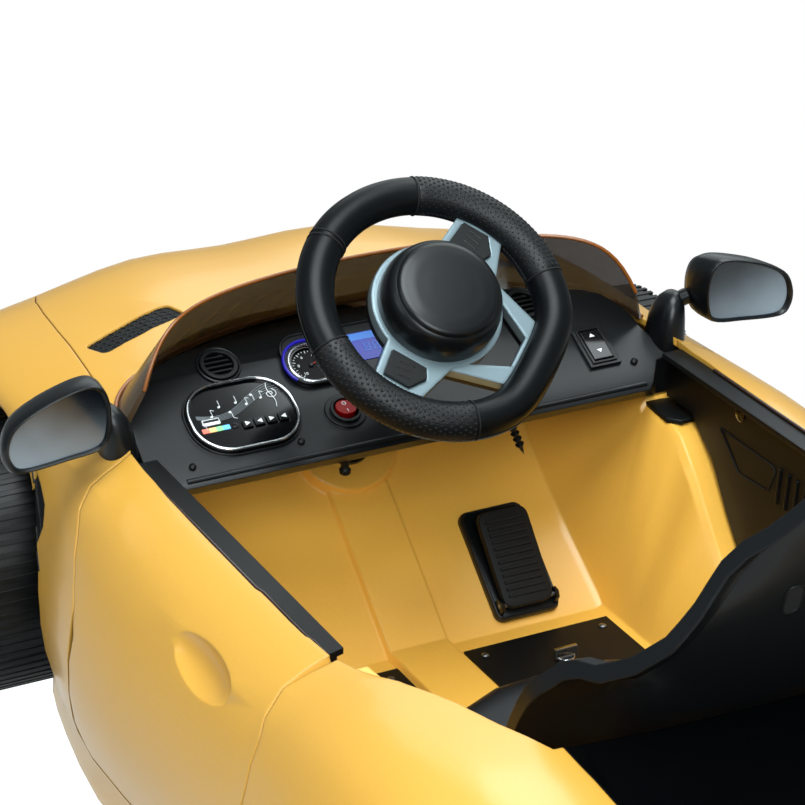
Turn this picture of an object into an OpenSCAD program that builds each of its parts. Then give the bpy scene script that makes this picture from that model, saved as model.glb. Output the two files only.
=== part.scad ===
// Children's car barber chair: a ride-on style car body that swivels on a hydraulic pedestal.
// Origin on the floor at the pedestal axis. The car's front faces -Y and its left side is +X.

/* [Pedestal] */
// Diameter of the round base plate
base_d = 560; // [480:10:640]
// Height of the base plate at its middle
base_h = 26; // [22:1:34]
// Height of the base plate's rim
base_rim_h = 8; // [6:1:12]
// Thickness of the rubber ring under the base plate
ring_h = 4; // [2:1:6]
// Diameter of the pump housing
housing_d = 130; // [120:2:150]
// Height of the pump housing above the base plate
housing_h = 370; // [330:10:430]
// Diameter of the lifting piston
piston_d = 56; // [48:1:64]
// Reach of the foot lever from its pin to its end
lever_l = 255; // [230:5:290]
// Width of the foot lever
lever_w = 26; // [20:1:32]
// Thickness of the foot lever
lever_t = 10; // [8:1:14]
// Diameter of the foot lever's pin
lever_pin_d = 12; // [10:1:14]
// Diameter of the swivel plate
swivel_d = 200; // [180:5:230]
// Thickness of the swivel plate
swivel_t = 10; // [8:1:14]
// Side of the square rails of the mount frame
rail_s = 30; // [26:1:36]
// Length of the mount frame's rails
rail_l = 380; // [340:10:420]

/* [Car body] */
// Length of the car body
car_l = 1040; // [1020:5:1060]
// Width of the car body over the rear wings
body_w = 600; // [590:2:612]
// Height of the door tops above the tyres' lowest point
crest_h = 236; // [232:1:242]
// Wall thickness of the moulded body panels
skin_t = 5; // [4:0.5:6]
// Height of the footwell floor above the tyres' lowest point
floor_h = 37; // [36:0.5:39]
// Wall thickness of the footwell tub
tub_t = 5; // [4:0.5:6]
// Underside of the chassis pan above the tyres' lowest point
pan_h = 26; // [24:0.5:27]

/* [Steering] */
// Height of the steering wheel centre above the tyres' lowest point
wheel_h = 318; // [312:1:330]
// Distance of the steering wheel centre ahead of the pedestal axis
wheel_y = 100; // [96:1:104]
// Slope of the steering column above the horizontal
column_angle = 48; // [46:0.5:50]
// Turn of the steering wheel on its shaft
wheel_clock = 45; // [0:5:60]
// Outer radius of the steering wheel
rim_r = 99; // [92:1:104]
// Thickness of the steering wheel rim
rim_t = 26; // [22:1:28]
// Diameter of the steering shaft
shaft_d = 14; // [12:1:16]
// Radius of the hub cover
hub_r = 43; // [40:1:44]

/* [Running gear] */
// Outer diameter of the tyres
tyre_d = 200; // [190:2:204]
// Width of the tyres
tyre_w = 70; // [60:1:72]
// Diameter of the axles
axle_d = 12; // [10:1:14]
// Distance between the outer faces of a pair of wheels
track_w = 600; // [592:2:604]
// Distance from the front axle to the rear axle
wheelbase = 627; // [620:1:634]
// Distance of the front axle ahead of the pedestal axis
front_axle_y = 300; // [296:1:304]

/* [Cabin] */
// Width of the seat back at the rear deck
seat_w = 290; // [270:2:300]
// Height of the seat back above the tyres' lowest point
seat_h = 404; // [390:2:430]
// Width of the accelerator pedal
pedal_w = 41; // [38:1:44]
// Length of the accelerator pedal
pedal_l = 75; // [70:1:80]
// Width of the oval music panel
panel_w = 80; // [74:1:84]
// Height of the oval music panel
panel_l = 60; // [54:1:62]
// Diameter of the air vents
vent_d = 27; // [24:1:28]
// Diameter of the gauge
gauge_d = 34; // [30:1:36]
// Diameter of the red power rocker
rocker_d = 15; // [13:0.5:17]
// Width of the direction rocker
direction_w = 15; // [12:0.5:17]
// Length of the direction rocker
direction_l = 26; // [22:1:28]
// Height of the windscreen above the bonnet's rear edge
screen_h = 64; // [54:1:72]
// Thickness of the windscreen
screen_t = 3; // [2:0.5:4]
// Width of a mirror head
mirror_w = 76; // [66:1:80]
// Height of a mirror head
mirror_l = 49; // [44:1:54]

/* [Doors] */
// Front end of the door opening, ahead of the pedestal axis
door_front = 131; // [129:1:133]
// Rear end of the door opening, behind the pedestal axis
door_rear = 172; // [168:1:174]
// Diameter of the door hinge pins
hinge_pin_d = 5; // [4:0.5:6]

/* [Hidden] */

// Shared clearances
run_fit = 0.05;
part_gap = 0.3;
seam = 0.8;
door_gap = 2;
over = 1;
round_fn = 64;
half = 0.5;

// Colours
yellow = "#dc9c2f";
black = "#17191b";
gloss_black = "#0c0d0f";
steel = "#b9bcc0";
silver = "#8d9aa2";

// Heights of the pedestal's stack
base_top = ring_h + base_h;
housing_top = base_top + housing_h;
rest_gap = 3;
swivel_z = housing_top + rest_gap;
frame_z = swivel_z + swivel_t + part_gap;
frame_plate_t = 8;
pan_z = frame_z + frame_plate_t + rail_s;
ground_z = pan_z - pan_h;
function up(h) = ground_z + h;

// Points on a smooth curve through a list of numbers or vectors
function clamped(i, n) = max(0, min(n - 1, i));
function curve(a, b, c, d, t) = half * ((2 * b) + (c - a) * t + (2 * a - 5 * b + 4 * c - d) * t * t
    + (3 * b - a - 3 * c + d) * t * t * t);
function through(list, i, t) = let (n = len(list))
    curve(list[clamped(i - 1, n)], list[clamped(i, n)], list[clamped(i + 1, n)],
        list[clamped(i + 2, n)], t);
function smooth(list, steps) = [for (i = [0:len(list) - 2]) for (s = [0:steps - 1])
    through(list, i, s / steps), list[len(list) - 1]];
function mix(a, b, t) = a + (b - a) * t;

// A closed skin over rings of points, each ring with the same count; the ends are flat
module loft(rings) {
    n = len(rings[0]);
    m = len(rings);
    sides = [for (k = [0:m - 2]) for (j = [0:n - 1]) let (a = k * n + j, b = k * n + (j + 1) % n)
        each [[a, b, b + n], [a, b + n, a + n]]];
    polyhedron([for (r = rings) each r],
        concat(sides, [[for (j = [n - 1:-1:0]) j]], [[for (j = [0:n - 1]) (m - 1) * n + j]]));
}

// A round tube along a closed path that lies in the XY plane
module closed_tube(path, r, sides) {
    n = len(path);
    ring = function (i) let (a = path[(i + n - 1) % n], b = path[(i + 1) % n], d = b - a,
        u = [d[1], -d[0]] / norm(d))
        [for (k = [0:sides - 1]) let (t = 360 * k / sides)
            [path[i][0] + u[0] * r * cos(t), path[i][1] + u[1] * r * cos(t), r * sin(t)]];
    points = [for (i = [0:n - 1]) each ring(i)];
    polyhedron(points, [for (i = [0:n - 1]) for (k = [0:sides - 1])
        let (a = i * sides + k, b = i * sides + (k + 1) % sides,
            c = ((i + 1) % n) * sides + k, d = ((i + 1) % n) * sides + (k + 1) % sides)
        each [[a, b, d], [a, d, c]]]);
}

// Runs its children through the mesh engine, which joins and cuts lofted skins cleanly
module meshed() { resize([0, 0, 0]) union() children(); }

module mirrored() {
    children();
    mirror([1, 0, 0]) children();
}

// Extrudes an outline in Y and Z along X
module along_x(x0, x1) {
    translate([x0, 0, 0]) rotate([90, 0, 90]) linear_extrude(x1 - x0) children();
}

module tube(r_out, r_in, h) {
    difference() {
        cylinder(r = r_out, h = h, $fn = round_fn);
        translate([0, 0, -over]) cylinder(r = r_in, h = h + 2 * over, $fn = round_fn);
    }
}

module rounded_rect(w, l, r) {
    hull() for (sx = [-1, 1], sy = [-1, 1])
        translate([sx * (w / 2 - r), sy * (l / 2 - r)]) circle(r = r, $fn = 32);
}

// Pedestal
base_foot_w = 46;
base_hub_r = housing_d / 2 + base_foot_w / 2;

module base_plate() {
    dome_shares = [[0, 1], [0.34, 1], [0.46, 0.86], [0.66, 0.6], [0.86, 0.42], [0.97, 0.31], [1, 0.2]];
    r = base_d / 2;
    color(steel) rotate_extrude($fn = 128)
        polygon(concat([[0, ring_h], [r, ring_h], [r, ring_h + base_rim_h * half]],
            [for (i = [len(dome_shares) - 1:-1:0])
                [r * dome_shares[i][0], ring_h + base_h * dome_shares[i][1]]]));
}

module base_ring() {
    color(black) tube(base_d / 2 - base_rim_h, base_d / 2 - base_foot_w, ring_h);
}

lever_pin_y = housing_d / 2 + lever_w * 0.7;
lever_pin_z = base_top + housing_h * 0.2;
ear_t = 8;
lever_rest = 10;

module pump_housing() {
    collar_share = 0.8;
    r = housing_d / 2;
    collar_r = piston_d / 2 + lever_w * 0.75;
    bore_r = piston_d / 2 + run_fit;
    slope_h = r - collar_r;
    bolt_r = base_rim_h * half;
    color(steel) difference() {
        union() {
            translate([0, 0, base_top]) rotate_extrude($fn = round_fn)
                polygon([[0, 0], [base_hub_r, 0], [base_hub_r, ear_t], [r + ear_t, ear_t * 2],
                    [r, ear_t * 3], [r, housing_h * collar_share], [collar_r, housing_h * collar_share + slope_h],
                    [collar_r, housing_h], [0, housing_h]]);
            for (s = [-1, 1]) hull() {
                translate([s * (lever_w / 2 + part_gap + ear_t / 2), lever_pin_y, lever_pin_z])
                    rotate([0, 90, 0]) cylinder(d = lever_pin_d * 2, h = ear_t, center = true, $fn = 32);
                translate([s * (lever_w / 2 + part_gap + ear_t / 2), r * 0.7, lever_pin_z])
                    cube([ear_t, ear_t, lever_pin_d * 3], center = true);
            }
        }
        translate([0, 0, base_top + base_h]) cylinder(r = bore_r, h = housing_h, $fn = round_fn);
        translate([-lever_w, lever_pin_y, lever_pin_z]) rotate([0, 90, 0])
            cylinder(d = lever_pin_d, h = 2 * lever_w, $fn = round_fn);
    }
}

module pump_piston() {
    z0 = base_top + base_h + rest_gap;
    color("#d8dadd") translate([0, 0, z0])
        cylinder(d = piston_d, h = swivel_z - z0, $fn = round_fn);
}

module at_lever() {
    translate([0, lever_pin_y, lever_pin_z]) rotate([lever_rest, 0, 0]) children();
}

pad_l = lever_w * 2.2;
pad_t = lever_t * 0.8;

module pump_lever() {
    boss_d = lever_pin_d * 2;
    color(steel) at_lever() difference() {
        union() {
            rotate([0, 90, 0]) cylinder(d = boss_d, h = lever_w, center = true, $fn = round_fn);
            translate([-lever_w / 2, 0, -lever_t / 2]) cube([lever_w, lever_l - pad_l, lever_t]);
            translate([-lever_w, lever_l - pad_l - over, -lever_t / 2]) cube([2 * lever_w, pad_l + over, lever_t]);
        }
        translate([-lever_w, 0, 0]) rotate([0, 90, 0])
            cylinder(d = lever_pin_d + 2 * run_fit, h = 2 * lever_w, $fn = round_fn);
    }
}

module lever_pad() {
    rib_count = 6;
    rib_w = pad_l / (2 * rib_count + 1);
    color(black) at_lever() translate([0, lever_l - pad_l, lever_t / 2]) {
        translate([-lever_w, 0, 0]) cube([2 * lever_w, pad_l, pad_t]);
        for (i = [0:rib_count - 1]) translate([-lever_w, rib_w * (2 * i + 1), pad_t])
            cube([2 * lever_w, rib_w, pad_t / 2]);
    }
}

module lever_pin() {
    w = lever_w + 2 * (part_gap + ear_t);
    head_d = lever_pin_d * 1.5;
    color(silver) translate([0, lever_pin_y, lever_pin_z]) rotate([0, 90, 0]) {
        cylinder(d = lever_pin_d, h = w, center = true, $fn = round_fn);
        for (s = [0, 1]) mirror([0, 0, s]) translate([0, 0, w / 2])
            cylinder(d = head_d, h = ear_t / 2, $fn = round_fn);
    }
}

spigot_r = swivel_d * 0.16;

module swivel_plate() {
    color(steel) {
        translate([0, 0, swivel_z]) cylinder(d = swivel_d, h = swivel_t, $fn = round_fn);
        translate([0, 0, swivel_z + swivel_t - over])
            cylinder(r = spigot_r, h = frame_plate_t + rail_s * half + over, $fn = round_fn);
    }
}

plate_w = swivel_d * 1.3;
rail_x = plate_w / 2 - rail_s / 2;
bolt_d = 8;
bolt_pitch = rail_l - rail_s * 2;

module mount_frame() {
    color(black) difference() {
        union() {
            translate([-plate_w / 2, -plate_w / 2, frame_z]) cube([plate_w, plate_w, frame_plate_t]);
            for (s = [-1, 1]) translate([s * rail_x - rail_s / 2, -rail_l / 2, frame_z + frame_plate_t])
                cube([rail_s, rail_l, rail_s]);
            for (s = [-1, 1]) translate([-rail_x, s * rail_x - rail_s / 2, frame_z + frame_plate_t])
                cube([2 * rail_x, rail_s, rail_s]);
            translate([0, 0, frame_z]) cylinder(r = spigot_r + rail_s / 2, h = frame_plate_t + rail_s * half, $fn = round_fn);
        }
        translate([0, 0, frame_z - over])
            cylinder(r = spigot_r + run_fit, h = frame_plate_t + rail_s, $fn = round_fn);
        for (sx = [-1, 1], sy = [-1, 1]) translate([sx * rail_x, sy * bolt_pitch / 2, frame_z])
            cylinder(d = bolt_d + part_gap, h = pan_z, $fn = round_fn);
    }
}

module mount_bolts() {
    head_h = bolt_d * 0.6;
    color(silver) for (sx = [-1, 1], sy = [-1, 1]) translate([sx * rail_x, sy * bolt_pitch / 2, 0]) {
        translate([0, 0, frame_z + frame_plate_t - head_h]) cylinder(d = bolt_d * 1.7, h = head_h, $fn = 6);
        translate([0, 0, frame_z + frame_plate_t - over])
            cylinder(d = bolt_d, h = rail_s + pan_t + over, $fn = round_fn);
    }
}

// Car body surface: control sizes along the car, as shares of its length, half width and door height
half_w = body_w / 2;
along_shares = [0, 0.012, 0.035, 0.075, 0.12, 0.2, 0.29, 0.375, 0.46, 0.56, 0.667, 0.73, 0.814, 0.9,
    0.96, 0.99, 1];
wide_shares = [0.5, 0.68, 0.79, 0.84, 0.865, 0.875, 0.876, 0.928, 0.9665, 0.958, 0.965, 0.985, 1, 0.975,
    0.9, 0.79, 0.66];
base_shares = [0.3, 0.22, 0.18, 0.15, 0.135, 0.13, 0.13, 0.13, 0.13, 0.13, 0.13, 0.13, 0.14, 0.16,
    0.2, 0.27, 0.34];
belt_shares = [0.5, 0.5, 0.5, 0.52, 0.54, 0.55, 0.55, 0.55, 0.55, 0.55, 0.56, 0.58, 0.6, 0.6, 0.6,
    0.6, 0.6];
crest_x_shares = [0.36, 0.53, 0.66, 0.73, 0.765, 0.785, 0.775, 0.737, 0.733, 0.725, 0.713, 0.725,
    0.745, 0.73, 0.66, 0.56, 0.46];
crest_z_shares = [0.66, 0.77, 0.85, 0.91, 0.94, 0.965, 0.98, 1, 1, 1, 1.005, 1.05, 1.085, 1.03,
    0.95, 0.86, 0.78];
valley_x_shares = [0.28, 0.42, 0.5, 0.55, 0.58, 0.6, 0.6, 0.6, 0.6, 0.6, 0.6, 0.58, 0.56, 0.52, 0.48,
    0.4, 0.3];
valley_z_shares = [0.69, 0.82, 0.9, 0.965, 1, 1.04, 1.065, 1.075, 1, 1, 1.01, 1.07, 1.07, 1.01,
    0.93, 0.86, 0.79];
ridge_x_shares = [0.14, 0.2, 0.25, 0.28, 0.31, 0.35, 0.36, 0.35, 0.35, 0.35, 0.35, 0.33, 0.3, 0.28,
    0.25, 0.2, 0.14];
ridge_z_shares = [0.73, 0.87, 0.965, 1.035, 1.075, 1.105, 1.1, 1.08, 1, 1, 1.02, 1.05, 1.045, 0.98,
    0.91, 0.85, 0.8];
middle_z_shares = [0.73, 0.87, 0.96, 1.025, 1.065, 1.095, 1.09, 1.07, 1, 1, 1.02, 1.04, 1.035, 0.975,
    0.905, 0.845, 0.8];

function station(i) = [car_l * (along_shares[i] - half), half_w * wide_shares[i],
    crest_h * base_shares[i], crest_h * belt_shares[i], half_w * crest_x_shares[i],
    crest_h * crest_z_shares[i], half_w * valley_x_shares[i], crest_h * valley_z_shares[i],
    half_w * ridge_x_shares[i], crest_h * ridge_z_shares[i], crest_h * middle_z_shares[i]];

// Half a cross-section, from the middle of the underside round to the middle of the top
sill_x_share = 0.88;
tuck_x_share = 0.975;
tuck_z_share = 0.35;
upper_x_share = 0.4;
upper_z_share = 0.78;
function half_section(v) = [[0, v[2]], [v[1] * sill_x_share, v[2]],
    [v[1] * tuck_x_share, mix(v[2], v[3], tuck_z_share)], [v[1], v[3]],
    [mix(v[1], v[4], upper_x_share), mix(v[3], v[5], upper_z_share)], [v[4], v[5]], [v[6], v[7]],
    [v[8], v[9]], [0, v[10]]];

across_steps = 3;
along_steps = 2;
function half_ring(v) = let (h = half_section(v), n = len(h),
    wide = concat([[-h[1][0], h[1][1]]], h, [[-h[n - 2][0], h[n - 2][1]]]))
    [for (i = [1:n - 1]) for (s = [0:across_steps - 1])
        curve(wide[i - 1], wide[i], wide[i + 1], wide[i + 2], s / across_steps), h[n - 1]];
function full_ring(v) = let (h = half_ring(v), n = len(h))
    concat(h, [for (i = [n - 2:-1:1]) [-h[i][0], h[i][1]]]);
// Moves a ring inwards by a wall thickness
function inset(ring, t) = let (n = len(ring)) [for (i = [0:n - 1])
    let (d = ring[(i + 1) % n] - ring[(i + n - 1) % n]) ring[i] + [-d[1], d[0]] * t / norm(d)];
function placed(ring, y) = [for (p = ring) [p[0], y, up(p[1])]];

stations = [for (i = [0:len(along_shares) - 1]) station(i)];
body_rings = smooth(stations, along_steps);

module body_solid(t = 0) {
    last = len(body_rings) - 1;
    loft([for (k = [0:last]) let (v = body_rings[k], y = v[0] + (k == 0 ? t : k == last ? -t : 0))
        placed(t == 0 ? full_ring(v) : inset(full_ring(v), t), y)]);
}

module body_skin() {
    difference() {
        body_solid();
        body_solid(skin_t);
    }
}

// Windscreen line, shared by the bonnet's rear edge, the screen and the dashboard
screen_base_w = 205;
screen_base_y = -275;
screen_sweep = 108;
screen_top_w = 176;
screen_top_y = -210;
screen_top_sweep = 68;
screen_steps = 24;
function screen_base(a, inward = 0) = [(screen_base_w - inward) * sin(a),
    screen_base_y + inward + screen_sweep * (1 - cos(a))];

// Plan of the cabin opening: the screen line, then the door tops and the rear quarters
cabin_y_shares = [0.374, 0.44, 0.52, 0.6, 0.667, 0.716, 0.755, 0.797, 0.828];
cabin_x_shares = [0.713, 0.717, 0.717, 0.712, 0.704, 0.68, 0.633, 0.577, 0.52];
deck_y_shares = [0.815, 0.885, 0.923, 0.95, 0.962];
deck_x_shares = [0.5, 0.487, 0.46, 0.38, 0.2];

module cabin_plan() {
    front = [for (i = [0:screen_steps / 2]) screen_base(90 * i / (screen_steps / 2))];
    side = smooth([for (i = [0:len(cabin_y_shares) - 1])
        [half_w * cabin_x_shares[i], car_l * (cabin_y_shares[i] - half)]], 2);
    side_all = concat(front, side);
    polygon(concat(side_all, [for (i = [len(side_all) - 1:-1:1]) [-side_all[i][0], side_all[i][1]]]));
}

module deck_plan() {
    side = smooth([for (i = [0:len(deck_y_shares) - 1])
        [half_w * deck_x_shares[i], car_l * (deck_y_shares[i] - half)]], 2);
    polygon(concat(side, [for (i = [len(side) - 1:-1:0]) [-side[i][0], side[i][1]]]));
}

bonnet_y_shares = [0.02, 0.03, 0.055, 0.12, 0.2, 0.27, 0.325, 0.35];
bonnet_x_shares = [0.2, 0.4, 0.53, 0.59, 0.625, 0.655, 0.68, 0.69];

module bonnet_plan() {
    side = smooth([for (i = [0:len(bonnet_y_shares) - 1])
        [half_w * bonnet_x_shares[i], car_l * (bonnet_y_shares[i] - half)]], 2);
    difference() {
        polygon(concat(side, [for (i = [len(side) - 1:-1:0]) [-side[i][0], side[i][1]]]));
        cabin_plan();
    }
}

// Cuts the top of the skin above the belt, in a plan's outline
module top_cut(grow) {
    translate([0, 0, up(crest_h * half)]) linear_extrude(crest_h) offset(delta = grow) children();
}

arch_gap = 16;
arch_long = 1.13;
arch_in_share = 0.66;
arch_foot_l = 212;

module arches() {
    for (y = [-front_axle_y, wheelbase - front_axle_y])
        mirrored() translate([half_w * arch_in_share, y, up(tyre_d / 2)]) rotate([0, 90, 0])
            scale([1, y < 0 ? arch_long : 1, 1]) cylinder(d = tyre_d + 2 * arch_gap, h = half_w, $fn = 48);
    mirrored() translate([half_w * arch_in_share, -front_axle_y - arch_foot_l / 2, up(0)])
        cube([half_w, arch_foot_l, tyre_d / 2 * 0.57]);
}

// Door outline on the car's side, as shares of the door's length and of the door tops' height
door_y_shares = [0, 0, 0.03, 0.1, 0.17, 0.2, 0.2, 0.24, 0.86, 0.96, 1.04, 1.088, 1.088, 1.06, 1, 1];
door_z_shares = [1.3, 1, 0.915, 0.805, 0.7, 0.63, 0.34, 0.305, 0.305, 0.35, 0.47, 0.61, 0.73, 0.87, 1,
    1.3];
door_l = door_front + door_rear;

module door_outline() {
    polygon([for (i = [0:len(door_y_shares) - 1])
        [door_l * door_y_shares[i] - door_front, up(crest_h * door_z_shares[i])]]);
}

// The door's top rear corner swings back a little as it opens, so its gap widens there
door_swing_gap = 7;
hinge_x = 271;
hinge_y = -door_front + door_l * 0.2 + 9;
nose_r = 19.8;

module door_cut() {
    mirrored() along_x(half_w * 0.6, half_w * 1.2) {
        offset(delta = door_gap) door_outline();
        polygon([[0, up(crest_h * 1.3)], [door_rear, up(crest_h * 0.85)], [door_rear + door_gap * 2, up(crest_h * 0.9)],
            [door_rear + door_swing_gap + door_gap, up(crest_h)], [door_rear + door_swing_gap + door_gap, up(crest_h * 1.3)]]);
    }
    mirrored() translate([hinge_x, hinge_y, up(crest_h * 0.3)])
        cylinder(r = nose_r, h = crest_h * 0.42, $fn = 32);
}

// Grille and lamp openings
grille_w = 300;
grille_l = 70;
grille_z = crest_h * 0.45;
lamp_x_share = 0.62;

module grille_cut(grow) {
    translate([0, -car_l * 0.4, up(grille_z)]) rotate([90, 0, 0]) linear_extrude(car_l)
        offset(delta = grow) rounded_rect(grille_w, grille_l, grille_l * 0.4);
}

module lamp_cut(grow) {
    mirrored() {
        translate([half_w * lamp_x_share, -car_l * 0.38, up(crest_h * 0.76)]) rotate([90, 0, -12])
            linear_extrude(car_l) rotate(14) offset(delta = grow) scale([2.1, 1]) circle(r = crest_h * 0.085, $fn = 24);
        translate([half_w * 0.6, car_l * 0.4, up(crest_h * 0.74)]) rotate([-90, 0, 0])
            linear_extrude(car_l) offset(delta = grow) scale([2.4, 1]) circle(r = crest_h * 0.07, $fn = 24);
    }
}

// Side sills of the pan reach to just inside the shell's lower edge
beam_in = 218;
beam_out = 264;
beam_end_gap = 10;

module underside_cut() {
    translate([-beam_out - part_gap, -pan_l / 2 - part_gap, up(0)])
        cube([2 * (beam_out + part_gap), pan_l + 2 * part_gap, crest_h * 0.3]);
}

module body_shell() {
    color(yellow) meshed() difference() {
        body_skin();
        top_cut(seam / 2) bonnet_plan();
        top_cut(0) cabin_plan();
        top_cut(seam / 2) deck_plan();
        door_cut();
        arches();
        grille_cut(part_gap);
        lamp_cut(part_gap);
        wing_vent_cut(part_gap);
        underside_cut();
    }
}

// Honeycomb outlets on the bonnet, beside the power bulge
outlet_l = 72;
outlet_w = 26;
outlet_x = 143;
outlet_y = -296;
outlet_turn = 14;
outlet_h = crest_h * 0.9;

module outlet_cut(grow) {
    mirrored() translate([outlet_x, outlet_y, up(outlet_h)]) rotate(outlet_turn)
        linear_extrude(crest_h) offset(delta = grow) rounded_rect(outlet_l, outlet_w, outlet_w * 0.2);
}

module bonnet() {
    color(yellow) meshed() difference() {
        intersection() {
            body_skin();
            top_cut(-seam / 2) bonnet_plan();
        }
        outlet_cut(part_gap);
    }
}

// Triangular mesh outlet on each front wing, as shares of the door's length and height
wing_vent_shares = [[-0.215, 0.68], [-0.275, 0.8], [-0.27, 0.85], [-0.17, 0.8], [-0.16, 0.74], [-0.19, 0.66]];

module wing_vent_cut(grow) {
    mirrored() along_x(half_w * 0.7, half_w * 1.1) offset(delta = grow)
        polygon([for (p = wing_vent_shares) [door_l * p[0] - door_front, up(crest_h * p[1])]]);
}

module rear_deck() {
    color(gloss_black) meshed() intersection() {
        body_skin();
        difference() {
            top_cut(-seam / 2) deck_plan();
            top_cut(seam / 2) cabin_plan();
        }
    }
}

module lamps() {
    color("#c9d2d8") meshed() intersection() {
        body_skin();
        lamp_cut(0);
    }
}

module front_grille() {
    bars = 4;
    pitch = grille_l / bars;
    bar_t = pitch * 0.3;
    color(black) meshed() intersection() {
        body_solid();
        grille_cut(0);
        difference() {
            translate([-grille_w, -car_l, up(0)]) cube([2 * grille_w, car_l * 0.535, crest_h]);
            for (i = [0:bars - 1]) translate([-grille_w * 0.44, -car_l, up(grille_z - grille_l / 2 + pitch * i + bar_t)])
                cube([grille_w * 0.88, car_l * 0.52, pitch - bar_t * 1.4]);
        }
    }
}

module body_vents() {
    color(black) meshed() intersection() {
        difference() {
            body_solid(skin_t * 0.3);
            body_solid(skin_t);
        }
        union() {
            outlet_cut(0);
            wing_vent_cut(0);
        }
    }
}

// Doors, each with a shallow oval bowl for the hand near its rear top edge
bowl_x = half_w * 0.88;
bowl_y = 100;
bowl_h = crest_h * 0.86;
bowl_r = 20;
bowl_long = 2.5;
bowl_depth = 8;
bowl_lean = 41;

module handle_bowl(grow) {
    translate([bowl_x, bowl_y, up(bowl_h)]) rotate([0, 90 - bowl_lean, 0]) translate([0, 0, bowl_r - bowl_depth])
        scale([1, bowl_long, 1]) sphere(r = bowl_r + grow, $fn = 28);
}

module left_door() {
    color(yellow) meshed() difference() {
        intersection() {
            union() {
                body_skin();
                intersection() {
                    body_solid();
                    handle_bowl(skin_t * 0.6);
                }
            }
            along_x(half_w * 0.6, half_w * 1.2) door_outline();
        }
        top_cut(0) cabin_plan();
        handle_bowl(0);
    }
}

module right_door() { mirror([1, 0, 0]) left_door(); }

card_x = 203;
card_t = 4;
card_top = crest_h - 1;
card_strip_in = 5;
card_strip_w = 11;
card_r = 236;
card_y_shares = [0.02, 1, 1, 0.41, 0.355, 0.3, 0.23, 0.13, 0.02];
card_z_shares = [1, 1, 0.475, 0.475, 0.52, 0.61, 0.75, 0.852, 0.852];
arm_z = 107;
arm_h = 34;
arm_root_y = 2;
arm_root_l = 18;
barrel_r = 6.5;

module left_door_card() {
    pin_r = hinge_pin_d / 2 + run_fit;
    color(black) difference() {
        union() {
            intersection() {
                union() {
                    along_x(card_x, card_x + card_t) polygon([for (i = [0:len(card_y_shares) - 1])
                        [door_l * card_y_shares[i] - door_front, up(card_top * card_z_shares[i])]]);
                    intersection() {
                        translate([card_x - card_strip_in, door_l * card_y_shares[0] - door_front, up(card_top - card_t)])
                            cube([card_strip_w + 2 * card_strip_in, door_l * (1 - card_y_shares[0]), card_t]);
                        top_cut(-part_gap / 2) cabin_plan();
                    }
                }
                translate([hinge_x, hinge_y, up(0)]) cylinder(r = card_r, h = crest_h * 2, $fn = 96);
            }
            translate([0, 0, up(arm_z)]) linear_extrude(arm_h) polygon([[card_x + card_t / 2, arm_root_y],
                [card_x + card_t / 2, arm_root_y + arm_root_l], [hinge_x, hinge_y + barrel_r],
                [hinge_x, hinge_y], [hinge_x - barrel_r * 0.7, hinge_y - barrel_r * 0.7]]);
            translate([hinge_x, hinge_y, up(arm_z)]) cylinder(r = barrel_r, h = arm_h, $fn = round_fn);
        }
        translate([hinge_x, hinge_y, up(arm_z) - over])
            cylinder(r = pin_r, h = arm_h + 2 * over, $fn = round_fn);
    }
}

module right_door_card() { mirror([1, 0, 0]) left_door_card(); }

beam_top = 100;

module door_hinges() {
    lug_t = 6;
    post_w = 24;
    post_l = 18;
    color(silver) mirrored() {
        difference() {
            union() {
                translate([hinge_x - 16 - post_w, hinge_y - 4 - post_l, up(beam_top)])
                    cube([post_w, post_l, arm_z + arm_h + part_gap + lug_t - beam_top]);
                for (z = [arm_z - part_gap - lug_t, arm_z + arm_h + part_gap]) {
                    translate([hinge_x - 16 - post_w, hinge_y - post_l / 2, up(z)])
                        cube([post_w + 16, post_l / 2, lug_t]);
                    translate([hinge_x, hinge_y, up(z)]) cylinder(r = barrel_r, h = lug_t, $fn = round_fn);
                }
            }
            translate([hinge_x, hinge_y, up(beam_top)])
                cylinder(d = hinge_pin_d + part_gap, h = arm_h * 2, $fn = round_fn);
        }
        translate([hinge_x, hinge_y, up(arm_z - part_gap - lug_t)])
            cylinder(d = hinge_pin_d, h = arm_h + 2 * (part_gap + lug_t), $fn = round_fn);
        translate([hinge_x, hinge_y, up(arm_z + arm_h + part_gap + lug_t)])
            cylinder(d = hinge_pin_d * 1.8, h = lug_t / 3, $fn = round_fn);
    }
}

// Chassis pan with side beams, kingpin brackets and rear axle brackets
pan_t = floor_h - tub_t - pan_h;
pan_w = 370;
pan_l = 824;
knuckle_x = 212;
kingpin_d = 10;
kingpin_lo = 52;
kingpin_hi = 148;
lug_h = 12;
rear_y = wheelbase - front_axle_y;
axle_h = tyre_d / 2;
rear_block_x = 176;
rear_block_w = 16;

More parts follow.
